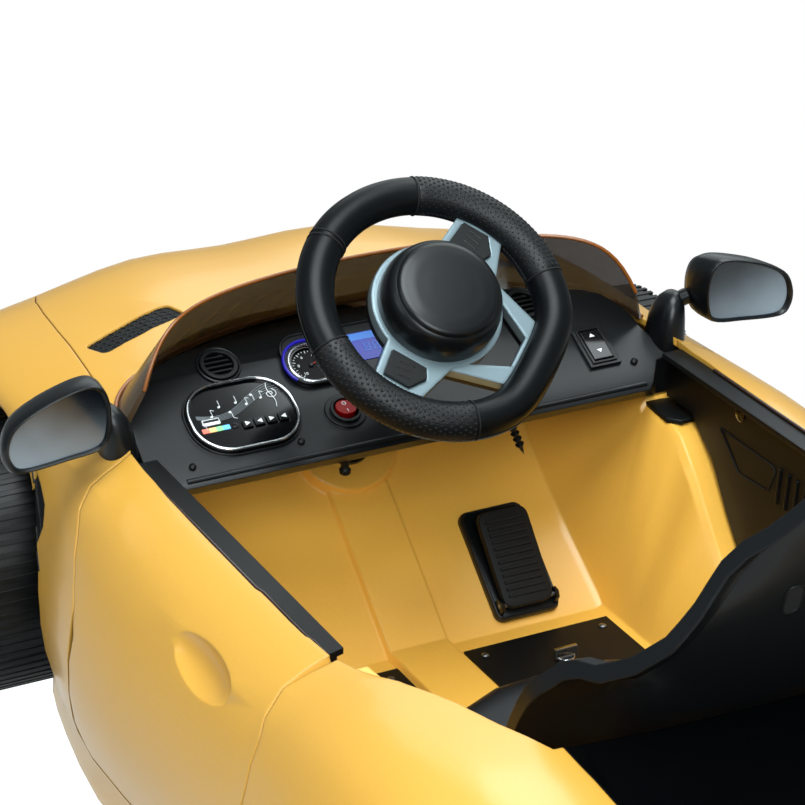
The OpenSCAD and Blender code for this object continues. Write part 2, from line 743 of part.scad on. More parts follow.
module chassis_pan() {
    lug_r = kingpin_d;
    color(black) difference() {
        union() {
            translate([-pan_w / 2, -pan_l / 2, pan_z]) cube([pan_w, pan_l, pan_t]);
            mirrored() translate([pan_w / 2 - over, beam_end_gap - door_front, pan_z])
                cube([beam_out - pan_w / 2 + over, door_l - 2 * beam_end_gap, pan_t]);
            mirrored() translate([beam_in, beam_end_gap - door_front, pan_z])
                cube([beam_out - beam_in, door_l - 2 * beam_end_gap, up(beam_top) - pan_z]);
            mirrored() translate([knuckle_x - 4 * lug_r, -front_axle_y - lug_r, pan_z])
                cube([lug_r * 2, 2 * lug_r, up(kingpin_hi) + lug_h - pan_z]);
            for (z = [kingpin_lo - lug_h, kingpin_hi]) mirrored() {
                translate([knuckle_x - 3 * lug_r, -front_axle_y - lug_r, up(z)]) cube([lug_r * 3, 2 * lug_r, lug_h]);
                translate([knuckle_x, -front_axle_y, up(z)]) cylinder(r = lug_r, h = lug_h, $fn = round_fn);
            }
            mirrored() translate([rear_block_x - rear_block_w / 2, rear_y - lug_r * 2, pan_z])
                cube([rear_block_w, lug_r * 4, up(axle_h) + lug_r * 1.5 - pan_z]);
        }
        mirrored() translate([knuckle_x, -front_axle_y, up(kingpin_lo - lug_h) - over])
            cylinder(d = kingpin_d + 2 * run_fit, h = kingpin_hi - kingpin_lo + 2 * (lug_h + over), $fn = round_fn);
        translate([-half_w, rear_y, up(axle_h)]) rotate([0, 90, 0])
            cylinder(d = axle_d, h = body_w, $fn = round_fn);
        for (sx = [-1, 1], sy = [-1, 1]) translate([sx * rail_x, sy * bolt_pitch / 2, pan_z - over])
            cylinder(d = bolt_d + part_gap, h = pan_t + 2 * over, $fn = round_fn);
    }
}

// Footwell tub: sizes along it, as shares of the body's length, half width and door height
tub_y_shares = [0.248, 0.26, 0.274, 0.303, 0.341, 0.3722, 0.3741, 0.38, 0.404, 0.42, 0.44, 0.46, 0.478,
    0.496, 0.64, 0.655, 0.6687, 0.6708, 0.742, 0.79, 0.832];
tub_rise_shares = [0.14, 0.03, 0, 0, 0, 0, 0, 0, 0, 0, 0, 0, 0, 0, 0, 0, 0, 0, 0, 0.37, 0.71];
tub_floor_t_shares = [3.4, 2.8, 1.6, 1.3, 1.3, 1.3, 1.2, 1, 1, 1, 1, 1, 1, 1, 1, 1, 1, 1, 1, 1.6, 1.8];
tub_low_x_shares = [0.5, 0.5, 0.5, 0.5, 0.51, 0.52, 0.52, 0.52, 0.52, 0.52, 0.52, 0.525, 0.527, 0.527,
    0.527, 0.525, 0.522, 0.522, 0.52, 0.49, 0.45];
tub_top_x_shares = [0.62, 0.625, 0.625, 0.628, 0.632, 0.635, 0.635, 0.635, 0.635, 0.635, 0.635, 0.635,
    0.635, 0.635, 0.635, 0.635, 0.632, 0.632, 0.615, 0.555, 0.49];
tub_top_shares = [0.836, 0.836, 0.836, 0.836, 0.836, 0.836, 0.818, 0.818, 0.815, 0.79, 0.7, 0.58, 0.48,
    0.436, 0.436, 0.436, 0.44, 0.965, 0.972, 0.985, 0.99];
tub_edge_w = 26;
tub_lip = 14;
strip_w = 46;
strip_h = 6;
tub_r = 8;
foot_in = strip_w / 2 + 4;
foot_out = 146;
ramp_angle = 41.2;
ramp_foot_y = -124.8;

function tub_ring(i) = let (
    y = car_l * (tub_y_shares[i] - half),
    zf = floor_h + max(0, ramp_foot_y - y) * tan(ramp_angle) + crest_h * tub_rise_shares[i],
    ft = tub_t * tub_floor_t_shares[i],
    xf = half_w * tub_low_x_shares[i], xt = half_w * tub_top_x_shares[i],
    zt = crest_h * tub_top_shares[i], xo = xt + tub_edge_w,
    r = min(tub_r, (zt - zf) * 0.3), s = strip_w / 2,
    bump = strip_h * min(1, i / 3),
    inner = [[0, zf + bump], [s, zf + bump], [s + 2, zf], [xf - r, zf], [xf - r * 0.3, zf + r * 0.3],
        [xf, zf + r], [xt - tub_t, zt - tub_t * 1.2], [xt, zt], [xo, zt], [xo, zt - tub_lip]],
    outer = [[xo - tub_t, zt - tub_lip], [xo - tub_t, zt - tub_t], [xt + tub_t, zt - tub_t],
        [xf + tub_t, zf + r], [xf - r * 0.3 + tub_t * 0.7, zf + r * 0.3 - ft * 0.7], [xf - r, zf - ft],
        [0, zf - ft]],
    mirror_x = function (p) [-p[0], p[1]],
    loop = concat([for (k = [len(inner) - 1:-1:1]) mirror_x(inner[k])], inner, outer,
        [for (k = [len(outer) - 2:-1:0]) mirror_x(outer[k])]))
    [for (k = [len(loop) - 1:-1:0]) [loop[k][0], y, up(loop[k][1])]];

// Steering column frame: the shaft runs down -Z from the wheel centre
module at_column() {
    translate([0, -wheel_y, up(wheel_h)]) rotate([column_angle - 90, 0, 0]) children();
}

boss_r = 46;
bush_r = 16;
bush_low = 252;
bush_high = 213;

module footwell_tub() {
    color(yellow) meshed() difference() {
        union() {
            loft([for (i = [0:len(tub_y_shares) - 1]) tub_ring(i)]);
            at_column() translate([0, 0, -bush_low])
                cylinder(r1 = boss_r * 1.1, r2 = boss_r * 0.86, h = bush_low - bush_high - tub_t, $fn = 48);
        }
        at_column() translate([0, 0, -bush_low - boss_r]) cylinder(r = bush_r + part_gap / 2, h = boss_r * 2, $fn = 48);
        at_column() translate([0, 0, -bush_low - boss_r]) cylinder(r = boss_r * 2, h = boss_r, $fn = 24);
        at_column() translate([0, 0, -bush_high - tub_t]) cylinder(r = bush_r * 1.25 + part_gap, h = boss_r, $fn = 48);
    }
}

module column_bush() {
    flange_t = 4;
    color(black) at_column() difference() {
        union() {
            translate([0, 0, -bush_low]) cylinder(r = bush_r, h = bush_low - bush_high, $fn = round_fn);
            translate([0, 0, -bush_high - tub_t + part_gap / 2])
                cylinder(r = bush_r * 1.25, h = flange_t, $fn = round_fn);
        }
        translate([0, 0, -bush_low - over])
            cylinder(d = shaft_d + 2 * run_fit, h = bush_low, $fn = round_fn);
    }
}

// Windscreen: its foot stands in the bonnet's rear edge and its top leans towards the driver
screen_drop = 46;
screen_foot_shares = [1.075, 1.04];
screen_top_h = crest_h * screen_foot_shares[0] + screen_h;
function screen_foot(a) = crest_h * mix(screen_foot_shares[0], screen_foot_shares[1], 1 - cos(a));
function screen_top(a, inward) = [(screen_top_w - inward) * sin(a),
    screen_top_y + inward * cos(a) + screen_top_sweep * (1 - cos(a))];
function screen_at(a, inward, h) = let (b = screen_base(a, inward), t = screen_top(a, inward),
    f = (h - screen_foot(a)) / (screen_top_h - screen_foot(a)))
    [mix(b[0], t[0], f), mix(b[1], t[1], f), up(h)];

module windscreen() {
    ring = function (a) let (e = pow(abs(a) / 90, 6), z1 = screen_top_h - screen_drop * e)
        [screen_at(a, part_gap, screen_foot(a)), screen_at(a, part_gap, z1),
            screen_at(a, part_gap + screen_t, z1), screen_at(a, part_gap + screen_t, screen_foot(a))];
    color("#6b4a35", 0.5) loft([for (i = [0:screen_steps]) ring(180 * i / screen_steps - 90)]);
}

// All the space behind the screen's inner face, from low in the cabin to above the screen
module behind_screen(inward) {
    ring = function (h) concat([for (i = [0:screen_steps]) screen_at(90 - 180 * i / screen_steps, inward, h)],
        [[-screen_base_w, 0, up(h)], [screen_base_w, 0, up(h)]]);
    loft([ring(dash_low * 0.9), ring(screen_top_h)]);
}

// Dashboard: a hollow lofted housing; its face slopes down towards the driver
face_tilt = 27.4;
face_y = -195;
face_h = 259;
face_l = 93;
dash_t = 4;
dash_low = 198;
dash_end_x = 186;
dash_end_in = 3.4;
screen_gap = 2;
brow_w = 150;
brow_h = 8;
brow_l = 34;
dash_steps = 12;

// Frame on the dashboard's face: +X to the car's left, +Y down the face, +Z out of it
module on_face(x, s) {
    translate([x, face_y, up(face_h)]) rotate([-face_tilt, 0, 0]) translate([0, s, 0]) children();
}

face_end_y = face_y + face_l * cos(face_tilt);
face_end_h = face_h - face_l * sin(face_tilt);

module dash_plan(t) {
    front = [for (i = [0:dash_steps]) screen_base(90 * i / dash_steps, screen_t + screen_gap + t)];
    side = [[cabin_x_shares[0] * half_w - dash_end_in - t, -door_front - dash_end_in - t],
        [half_w * 0.66 - t, -door_front - dash_end_in * half - t * half], [dash_end_x - t, face_end_y - 4],
        [dash_end_x - 6 - t, face_end_y + over - t]];
    half_plan = concat(front, side);
    polygon(concat(half_plan, [for (i = [len(half_plan) - 1:-1:0]) [-half_plan[i][0], half_plan[i][1]]]));
}

module dash_block(t) {
    intersection() {
        along_x(-half_w, half_w) offset(delta = -t) polygon([[screen_base_y - half_w, up(dash_low)],
            [screen_base_y - half_w, up(face_h - 9)], [screen_base_y, up(face_h - 9)], [face_y - 12, up(face_h)],
            [face_y, up(face_h)], [face_end_y - 4, up(face_end_h + 2)], [face_end_y, up(face_end_h - 2)],
            [face_end_y - 5, up(face_end_h - 9)], [face_end_y - 24, up(dash_low)]]);
        translate([0, 0, up(0)]) linear_extrude(face_h * 2) dash_plan(t);
        behind_screen(screen_t + screen_gap + t);
    }
}

music_x = 122;
music_s = 45;
power_x = 49;
power_s = 58.6;
gauge_x = 56;
gauge_s = 13.5;
vent_x = 121;
direction_x = -157;
direction_s = 48.4;
bezel_d = rocker_d * 1.5;
bezel_w = direction_w + 10;
bezel_l = direction_l + 11;
display_w = 46;
display_l = 18;
display_s = 9;
vent_s = -2;

module panel_outline(grow) { offset(delta = grow) rounded_rect(panel_w, panel_l, panel_l * 0.44); }

module dashboard() {
    cut = dash_t * 12;
    color(black) meshed() difference() {
        union() {
            difference() {
                dash_block(0);
                dash_block(dash_t);
                translate([-dash_end_x + dash_t, screen_base_y, up(dash_low - over)])
                    cube([2 * (dash_end_x - dash_t), face_end_y - 28 - screen_base_y, dash_t + 2 * over]);
            }
            hull() for (s = [-1, 1]) on_face(s * brow_w * 0.3, brow_l / 2 - 8) translate([0, 0, -dash_t])
                linear_extrude(dash_t + brow_h * 0.4) rounded_rect(brow_w * 0.4, brow_l + 12, brow_l * 0.45);
            on_face(music_x, music_s) translate([0, 0, -dash_t * 3]) linear_extrude(dash_t * 3.4) panel_outline(1.6);
            on_face(power_x, power_s) translate([0, 0, -dash_t * 2])
                cylinder(d = bezel_d * 1.3, h = dash_t * 2.4, $fn = 40);
        }
        on_face(music_x, music_s) translate([0, 0, -cut / 2]) linear_extrude(cut) panel_outline(part_gap);
        on_face(power_x, power_s) translate([0, 0, -cut / 2]) cylinder(d = bezel_d * 0.9, h = cut, $fn = 40);
        on_face(direction_x, direction_s) translate([0, 0, -cut / 2]) linear_extrude(cut)
            square([bezel_w - 4, bezel_l - 4], center = true);
        for (s = [-1, 1]) on_face(s * vent_x, vent_s) translate([0, 0, -cut / 2])
            cylinder(d = vent_d + part_gap, h = cut, $fn = 40);
        for (s = [-1, 1]) on_face(s * gauge_x, gauge_s) translate([0, 0, -cut / 2])
            cylinder(d = gauge_d + part_gap, h = cut, $fn = 40);
        on_face(0, display_s) translate([0, 0, -cut / 2]) linear_extrude(cut)
            square([display_w + part_gap, display_l + part_gap], center = true);
        at_column() translate([0, 0, -bush_high]) cylinder(d = shaft_d * 1.5, h = bush_high, $fn = 40);
    }
}

module dash_vents() {
    slats = 5;
    r = vent_d / 2;
    wall = 3;
    depth = dash_t * 4;
    slat_t = 1.6;
    color(black) for (s = [-1, 1]) on_face(s * vent_x, vent_s) translate([0, 0, -depth]) {
        tube(r, r - wall, depth + wall);
        cylinder(r = r - wall / 2, h = wall, $fn = round_fn);
        for (i = [0:slats - 1]) translate([0, (i - (slats - 1) / 2) * (2 * (r - wall) / slats), depth / 2]) {
            w = 2 * sqrt(pow(r - wall / 2, 2) - pow((i - (slats - 1) / 2) * (2 * (r - wall) / slats) + slat_t / 2, 2));
            translate([-w / 2, -slat_t / 2, 0]) cube([w, slat_t, depth / 2]);
        }
    }
}

module instrument_pod() {
    wall = 2.4;
    depth = dash_t * 3;
    color(gloss_black) {
        for (s = [-1, 1]) on_face(s * gauge_x, gauge_s) translate([0, 0, -depth]) {
            tube(gauge_d / 2, gauge_d / 2 - wall, depth + wall);
            cylinder(r = gauge_d / 2 - wall / 2, h = depth * 0.7, $fn = round_fn);
            translate([0, 0, depth * 0.7]) cylinder(r = wall, h = wall, $fn = round_fn);
        }
        on_face(0, display_s) translate([-display_w / 2, -display_l / 2, -dash_t])
            cube([display_w, display_l, dash_t + brow_h * 0.4]);
    }
}

button_w = 7;
button_l = 6;
button_pitch = 9;
button_s = 54;
button_x = 122;
button_travel = 1;
button_stand = 1.6;
plate_t = 4;
panel_top = dash_t * 0.6;

function button_place(i) = button_x - i * button_pitch;

module music_panel() {
    ring_w = 2.6;
    usb_w = 13;
    usb_l = 5.6;
    aux_d = 4.4;
    color(gloss_black) difference() {
        union() {
            on_face(music_x, music_s) translate([0, 0, panel_top - plate_t]) linear_extrude(plate_t) panel_outline(-ring_w);
            on_face(music_x, music_s) translate([0, 0, panel_top - plate_t]) linear_extrude(plate_t + 2) difference() {
                panel_outline(0);
                panel_outline(-ring_w);
            }
        }
        for (i = [0:3]) on_face(button_place(i), button_s) translate([0, 0, panel_top - plate_t + 1])
            linear_extrude(plate_t) square([button_w + 2 * part_gap, button_l + 2 * part_gap], center = true);
        on_face(music_x + 24, music_s + 1) translate([-usb_w / 2, -usb_l / 2, panel_top - plate_t / 2])
            cube([usb_w, usb_l, plate_t]);
        on_face(music_x + 9, music_s + 8) translate([0, 0, panel_top - plate_t / 2])
            cylinder(d = aux_d, h = plate_t, $fn = 24);
    }
}

module music_button(i) {
    color(silver) on_face(button_place(i), button_s)
        translate([-button_w / 2, -button_l / 2, panel_top - plate_t + 1 + button_travel + part_gap])
            cube([button_w, button_l, plate_t - 1 - button_travel - part_gap + button_stand]);
}

module music_button_1() { music_button(0); }
module music_button_2() { music_button(1); }
module music_button_3() { music_button(2); }
module music_button_4() { music_button(3); }

rocker_tip = 9;
rocker_room = 3.2;
bezel_t = 2.4;
bezel_depth = 14;

module switch_bezels() {
    wall = 1.6;
    color(black) {
        on_face(power_x, power_s) difference() {
            union() {
                translate([0, 0, -bezel_depth]) cylinder(d = bezel_d * 0.9 - part_gap, h = bezel_depth + dash_t * 0.4, $fn = round_fn);
                translate([0, 0, dash_t * 0.4]) cylinder(d = bezel_d, h = bezel_t, $fn = round_fn);
            }
            translate([0, 0, -bezel_depth + wall]) cylinder(d = rocker_d + rocker_room, h = 2 * bezel_depth, $fn = round_fn);
            pivot_bore();
        }
        on_face(direction_x, direction_s) difference() {
            union() {
                translate([0, 0, -bezel_depth / 2]) cube([bezel_w - 4 - part_gap, bezel_l - 4 - part_gap, bezel_depth], center = true);
                translate([0, 0, bezel_t / 2]) cube([bezel_w, bezel_l, bezel_t], center = true);
                translate([0, 0, bezel_t]) cube([bezel_w - 5, bezel_l - 5, bezel_t], center = true);
            }
            translate([0, 0, wall]) cube([direction_w + 1.2, direction_l + 3, 2 * bezel_depth], center = true);
            pivot_bore();
        }
    }
}

pivot_d = 3;
pivot_z = -3;

module pivot_bore() {
    translate([-bezel_w, 0, pivot_z]) rotate([0, 90, 0]) cylinder(d = pivot_d + 2 * run_fit, h = 2 * bezel_w, $fn = round_fn);
}

module rocker_pivot(w) {
    translate([-w / 2, 0, pivot_z]) rotate([0, 90, 0]) cylinder(d = pivot_d, h = w, $fn = round_fn);
}

module power_rocker() {
    crown = 3.4;
    color("#c81e17") on_face(power_x, power_s) {
        rotate([rocker_tip, 0, 0]) difference() {
            translate([0, 0, pivot_z - 2.5]) cylinder(d = rocker_d, h = crown + dash_t * 0.4 + bezel_t - pivot_z, $fn = round_fn);
            translate([-rocker_d, -rocker_d, pivot_z - 2.5 - over]) cube([2 * rocker_d, rocker_d * 0.6, over * 2]);
        }
        rocker_pivot(rocker_d + 1);
    }
}

module direction_rocker() {
    h = 9;
    color(gloss_black) on_face(direction_x, direction_s) {
        rotate([0, 0, 0]) translate([0, 0, pivot_z + h / 2 - 2]) cube([direction_w, direction_l, h], center = true);
        rocker_pivot(direction_w + 1);
    }
}

// Steering wheel
tube_r = rim_t / 2;
major_r = rim_r - tube_r;
flat_share = 0.935;
flat_power = 22;
rim_points = 56;

function rim_at(a) = let (c = max(0, sin(a)) / (major_r * flat_share),
    r = pow(pow(1 / major_r, flat_power) + pow(c, flat_power), -1 / flat_power))
    [r * cos(a), r * sin(a)];
rim_path = [for (i = [0:rim_points - 1]) rim_at(360 * i / rim_points)];

module at_wheel() { at_column() rotate(wheel_clock) children(); }

frame_t = 9;
arm_t = 6;

// Spoke outlines in the wheel's own frame: +Y is the flat bottom of the wheel
module spokes_2d(reach) {
    spoke_shares = [[0.3, -0.24], [0.9, -0.18], [0.9, 0.2], [0.34, 0.36]];
    leg_shares = [[0.5, 0.22], [0.34, 0.42], [0.12, 0.8], [0.2, 0.88], [0.3, 0.84]];
    circle(r = hub_r * 1.09, $fn = round_fn);
    for (s = [-1, 1]) {
        polygon([for (p = spoke_shares) [s * p[0] * reach, p[1] * reach]]);
        polygon([for (p = leg_shares) [s * p[0] * reach, p[1] * reach]]);
    }
    translate([-reach * 0.27, reach * 0.74]) square([reach * 0.54, reach * 0.16]);
}

module spoke_key_2d(grow) {
    key_shares = [[0.575, -0.15], [0.8, -0.125], [0.8, 0.1], [0.66, 0.19], [0.575, 0.15]];
    offset(delta = grow) polygon([for (p = key_shares) p * major_r]);
}

key_travel = 1.5;

module steering_rim() {
    color(black) at_wheel() meshed() {
        closed_tube(rim_path, tube_r, 12);
        difference() {
            union() {
                translate([0, 0, -tube_r]) cylinder(r = hub_r * 0.8, h = arm_t, $fn = 32);
                translate([0, 0, -tube_r * 0.92]) linear_extrude(arm_t - tube_r * 0.08) intersection() {
                    offset(delta = -part_gap) spokes_2d(major_r);
                    polygon(rim_path);
                }
            }
            translate([0, 0, -2 * tube_r]) cylinder(d = shaft_d + part_gap * 2, h = 3 * tube_r, $fn = 48);
        }
    }
}

module hub_cover() {
    cover_shares = [[0, 0], [1, 0], [1, 0.24], [0.98, 0.46], [0.94, 0.66], [0.89, 0.79], [0.84, 0.83], [0.83, 0.89],
        [0.79, 0.94], [0.6, 0.98], [0.3, 1], [0, 1]];
    cover_h = 28;
    color(black) at_wheel() translate([0, 0, -tube_r + arm_t + frame_t + part_gap]) rotate_extrude($fn = round_fn)
        polygon([for (p = cover_shares) [p[0] * hub_r, p[1] * cover_h]]);
}

module spoke_frame() {
    color(silver) at_wheel() translate([0, 0, -tube_r + arm_t + part_gap]) {
        linear_extrude(frame_t - part_gap) difference() {
            intersection() {
                spokes_2d(major_r);
                offset(delta = -tube_r - part_gap) polygon(rim_path);
            }
            for (s = [0, 1]) mirror([s, 0, 0]) spoke_key_2d(part_gap);
            circle(d = shaft_d + part_gap * 4, $fn = 48);
        }
    }
}

module spoke_button(side) {
    color(black) at_wheel() mirror([side, 0, 0])
        translate([0, 0, -tube_r + arm_t + part_gap + key_travel]) linear_extrude(frame_t + 1) spoke_key_2d(0);
}

// The driver's right is -X
module spoke_button_left() { spoke_button(0); }
module spoke_button_right() { spoke_button(1); }

crank_z = 256;
crank_t = 10;
crank_pin_d = 6;
knuckle_arm = 32.3;
steer_range = 20;
crank_r = knuckle_arm * steer_range * PI / 180 / sin(45);
tie_s = 30;
tie_z = 284;
tie_d = 10;

module steering_shaft() {
    color(steel) at_column() {
        translate([0, 0, -crank_z - crank_t]) cylinder(d = shaft_d, h = crank_z + crank_t - tube_r + arm_t, $fn = round_fn);
        translate([-shaft_d * 0.35, 0, -crank_z - crank_t]) cube([shaft_d * 0.7, crank_r, crank_t]);
        translate([0, crank_r, -crank_z - crank_t]) cylinder(d = shaft_d * 0.7, h = crank_t, $fn = round_fn);
        translate([0, crank_r, -crank_z - crank_t - 14]) cylinder(d = crank_pin_d, h = 14 + over, $fn = round_fn);
    }
}

tie_y = -wheel_y - tie_z * cos(column_angle) + tie_s * sin(column_angle);
tie_h = wheel_h - tie_z * sin(column_angle) - tie_s * cos(column_angle);
rod_pin_d = 6;
rod_eye_d = 15;

module tie_rod() {
    prong_t = 5;
    prong_gap = crank_pin_d / 2 + 0.9;
    slot_l = 4;
    color(silver) {
        difference() {
            union() {
                translate([-knuckle_x, tie_y, up(tie_h)]) rotate([0, 90, 0]) cylinder(d = tie_d, h = 2 * knuckle_x, $fn = round_fn);
                mirrored() hull() for (s = [-1, 1]) translate([knuckle_x, tie_y + s * slot_l / 2, up(tie_h) - tie_d / 2])
                    cylinder(d = rod_eye_d, h = tie_d, $fn = 32);
            }
            mirrored() for (s = [-1, 1]) translate([knuckle_x, tie_y + s * slot_l / 2, up(tie_h) - tie_d])
                cylinder(d = rod_pin_d + 1.6, h = 2 * tie_d, $fn = round_fn);
            mirrored() translate([knuckle_x - rod_pin_d / 2 - 0.8, tie_y - slot_l / 2, up(tie_h) - tie_d])
                cube([rod_pin_d + 1.6, slot_l, 2 * tie_d]);
        }
        at_column() for (s = [-1, 1]) translate([s * (prong_gap + prong_t / 2) - prong_t / 2, crank_r * 0.5, -tie_z - 4])
            cube([prong_t, tie_s + 4 - crank_r * 0.5, tie_z - crank_z - crank_t - 0.5 + 2]);
    }
}

module left_knuckle() {
    stub = track_w / 2 - knuckle_x - 3;
    color(steel) {
        translate([knuckle_x, -front_axle_y, up(kingpin_lo - lug_h)])
            cylinder(d = kingpin_d, h = kingpin_hi - kingpin_lo + 2 * lug_h, $fn = round_fn);
        translate([knuckle_x, -front_axle_y, up(kingpin_lo) + part_gap])
            cylinder(d = kingpin_d * 1.8, h = kingpin_hi - kingpin_lo - 2 * part_gap, $fn = round_fn);
        translate([knuckle_x, -front_axle_y, up(axle_h)]) rotate([0, 90, 0]) cylinder(d = axle_d, h = stub, $fn = round_fn);
        translate([knuckle_x - kingpin_d * 0.7, -front_axle_y, up(tie_h) + tie_d / 2 + 1])
            cube([kingpin_d * 1.4, front_axle_y + tie_y + rod_pin_d, tie_d * 0.6]);
        translate([knuckle_x, tie_y, up(tie_h) - tie_d / 2]) cylinder(d = rod_pin_d, h = tie_d * 1.4, $fn = round_fn);
    }
}

module right_knuckle() { mirror([1, 0, 0]) left_knuckle(); }

// Wheel: a grooved tyre, a dished hubcap and its cap, with the axle along X
tread_count = 36;
tread_depth = 3;

module road_wheel() {
    r = tyre_d / 2;
    rim = r * 0.62;
    tyre_shares = [[0.3, 0], [0.93, 0], [0.985, 0.06], [1, 0.14], [1, 0.86], [0.985, 0.94], [0.93, 1], [0.66, 1],
        [0.62, 0.86], [0.3, 0.8]];
    hub_shares = [[0.09, 0.8], [0.615, 0.861], [0.6, 0.93], [0.34, 0.9], [0.2, 0.98], [0.09, 0.98]];
    bore = axle_d / 2 + run_fit;
    bore_share = bore / r;
    color(black) translate([-tyre_w, 0, 0]) rotate([0, 90, 0]) difference() {
        rotate_extrude($fn = 96) polygon(concat([[bore, 0]], [for (p = tyre_shares) [p[0] * r, p[1] * tyre_w]],
            [[bore, tyre_w * 0.8]]));
        for (i = [0:tread_count - 1]) rotate(360 * i / tread_count) translate([r - tread_depth, -tread_depth / 2, tyre_w * 0.08])
            cube([tread_depth * 2, tread_depth, tyre_w * 0.84]);
    }
    color(silver) translate([-tyre_w, 0, 0]) rotate([0, 90, 0]) difference() {
        rotate_extrude($fn = 64) polygon([for (p = hub_shares) [p[0] * r, p[1] * tyre_w]]);
        for (i = [0:4]) rotate(72 * i) translate([rim * 0.68, 0, tyre_w * 0.9]) scale([1.5, 1, 1])
            cylinder(r = rim * 0.16, h = tyre_w, $fn = 32);
    }
}

module front_wheel_place() { translate([track_w / 2, -front_axle_y, up(axle_h)]) children(); }
module rear_wheel_place() { translate([track_w / 2, rear_y, up(axle_h)]) children(); }

module front_left_wheel() { front_wheel_place() road_wheel(); }
module front_right_wheel() { mirror([1, 0, 0]) front_left_wheel(); }
module rear_left_wheel() { rear_wheel_place() road_wheel(); }
module rear_right_wheel() { mirror([1, 0, 0]) rear_left_wheel(); }

module rear_axle() {
    l = track_w - 6;
    color(steel) translate([-l / 2, rear_y, up(axle_h)]) rotate([0, 90, 0]) cylinder(d = axle_d, h = l, $fn = round_fn);
}

module drive_motors() {
    box_x0 = rear_block_x + rear_block_w / 2 + part_gap;
    box_w = track_w / 2 - tyre_w - box_x0 - 3;
    box_l = 90;
    box_h = 76;
    can_d = 36;
    can_l = 60;
    color(black) mirrored() {
        difference() {
            translate([box_x0, rear_y - box_l * 0.3, up(axle_h) - box_h / 2]) cube([box_w, box_l, box_h]);
            translate([0, rear_y, up(axle_h)]) rotate([0, 90, 0]) cylinder(d = axle_d + 2 * run_fit, h = half_w, $fn = round_fn);
        }
        translate([box_x0 - can_l, rear_y + box_l * 0.45, up(axle_h)]) rotate([0, 90, 0])
            cylinder(d = can_d, h = can_l + over, $fn = round_fn);
    }
}

// Seat shell: a formed sheet swept from its front lip up over the back
seat_y_shares = [0.58, 0.592, 0.645, 0.695, 0.745, 0.78, 0.815, 0.84, 0.856, 0.87];
seat_z_shares = [0.272, 0.298, 0.288, 0.284, 0.315, 0.41, 0.585, 0.72, 0.86, 1];
seat_x_shares = [0.94, 0.97, 1, 1.02, 1.02, 1.02, 1, 0.84, 0.56, 0.2];
seat_side_shares = [0.1, 0.15, 0.2, 0.3, 0.6, 1.1, 1.1, 0.7, 0.4, 0.15];
seat_t = 4;
seat_side = 40;
seat_back_y = car_l * 0.012;
seat_steps = 2;
seat_nose = 28;
seat_nose_rings = 8;

seat_path = smooth([for (i = [0:len(seat_y_shares) - 1]) [car_l * (seat_y_shares[i] - half) + seat_back_y * max(0, i - 5) / 4,
    seat_h * seat_z_shares[i], seat_w / 2 * seat_x_shares[i], seat_side * seat_side_shares[i]]], seat_steps);

function seat_ring(i) = let (n = len(seat_path), p = seat_path[i],
    d = seat_path[min(n - 1, i + 1)] - seat_path[max(0, i - 1)],
    u = [-d[1], d[0]] / norm([d[0], d[1]]),
    w = p[2], b = p[3],
    nose = function (x) seat_nose * (1 - min(1, max(0, (abs(x) - 0.25) / 0.35))) * max(0, 1 - i / seat_nose_rings),
    top = [[-1, 1], [-0.93, 0.98], [-0.8, 0.45], [-0.6, 0.08], [-0.3, 0], [0, 0], [0.3, 0], [0.6, 0.08], [0.8, 0.45], [0.93, 0.98], [1, 1]],
    at = function (q, t) [q[0] * w, p[0] - nose(q[0]) + u[0] * (q[1] * b + t), up(p[1] + u[1] * (q[1] * b + t))],
    under = [for (k = [len(top) - 1:-1:0]) let (q = top[k]) at([q[0] * (1 + seat_t / w * (abs(q[0]) > 0.7 ? 1 : 0)), q[1]],
        abs(q[0]) == 1 ? -seat_t * 3 : -seat_t)])
    concat([for (q = top) at(q, 0)], under);

module seat() {
    slot_w = 10;
    slot_l = 20;
    color(black) meshed() difference() {
        loft([for (i = [len(seat_path) - 1:-1:0]) seat_ring(i)]);
        for (s = [-1, 1]) translate([s * seat_w * 0.1, 0, up(seat_h * 0.82)]) rotate([-90, 0, 0])
            linear_extrude(car_l) rounded_rect(slot_w, slot_l, slot_w * 0.45);
    }
}

base_front_y = -106;
box_front_y = 100;
box_rear_y = 250;
box_w = 2 * foot_out;
box_top = seat_h * 0.267;
foot_t = 3;
knob_x = -87;
knob_y = -63;

module seat_base() {
    wall = 4;
    color(black) difference() {
        union() {
            for (s = [-1, 1]) translate([s * (foot_in + foot_out) / 2 - (foot_out - foot_in) / 2, base_front_y, up(floor_h + part_gap)])
                cube([foot_out - foot_in, box_front_y - base_front_y + over, foot_t]);
            difference() {
                translate([-box_w / 2, box_front_y, up(floor_h + strip_h + part_gap)])
                    cube([box_w, box_rear_y - box_front_y, box_top - floor_h - strip_h - part_gap]);
                translate([-box_w / 2 + wall, box_front_y + wall, up(floor_h)])
                    cube([box_w - 2 * wall, box_rear_y - box_front_y - 2 * wall, box_top - floor_h - wall]);
            }
            for (s = [-1, 1]) translate([s * (foot_in + foot_out) / 2 - (foot_out - foot_in) / 2, box_front_y, up(floor_h + part_gap)])
                cube([foot_out - foot_in, wall, box_top / 3]);
        }
        translate([knob_x, knob_y, up(floor_h)]) cylinder(d = 5 + 2 * run_fit, h = box_top, $fn = round_fn);
    }
}

module seat_knob() {
    z = floor_h + part_gap + foot_t;
    color("#c8ccd0") translate([knob_x, knob_y, 0]) {
        translate([0, 0, up(floor_h + part_gap * 2)]) cylinder(d = 5, h = foot_t + part_gap * 2, $fn = round_fn);
        translate([0, 0, up(z) + part_gap]) cylinder(d = 14, h = 3, $fn = round_fn);
        translate([-9, -1.5, up(z) + part_gap + 2]) cube([18, 3, 8]);
    }
}

battery_l = 151;
battery_w = 94;
battery_h = 50;

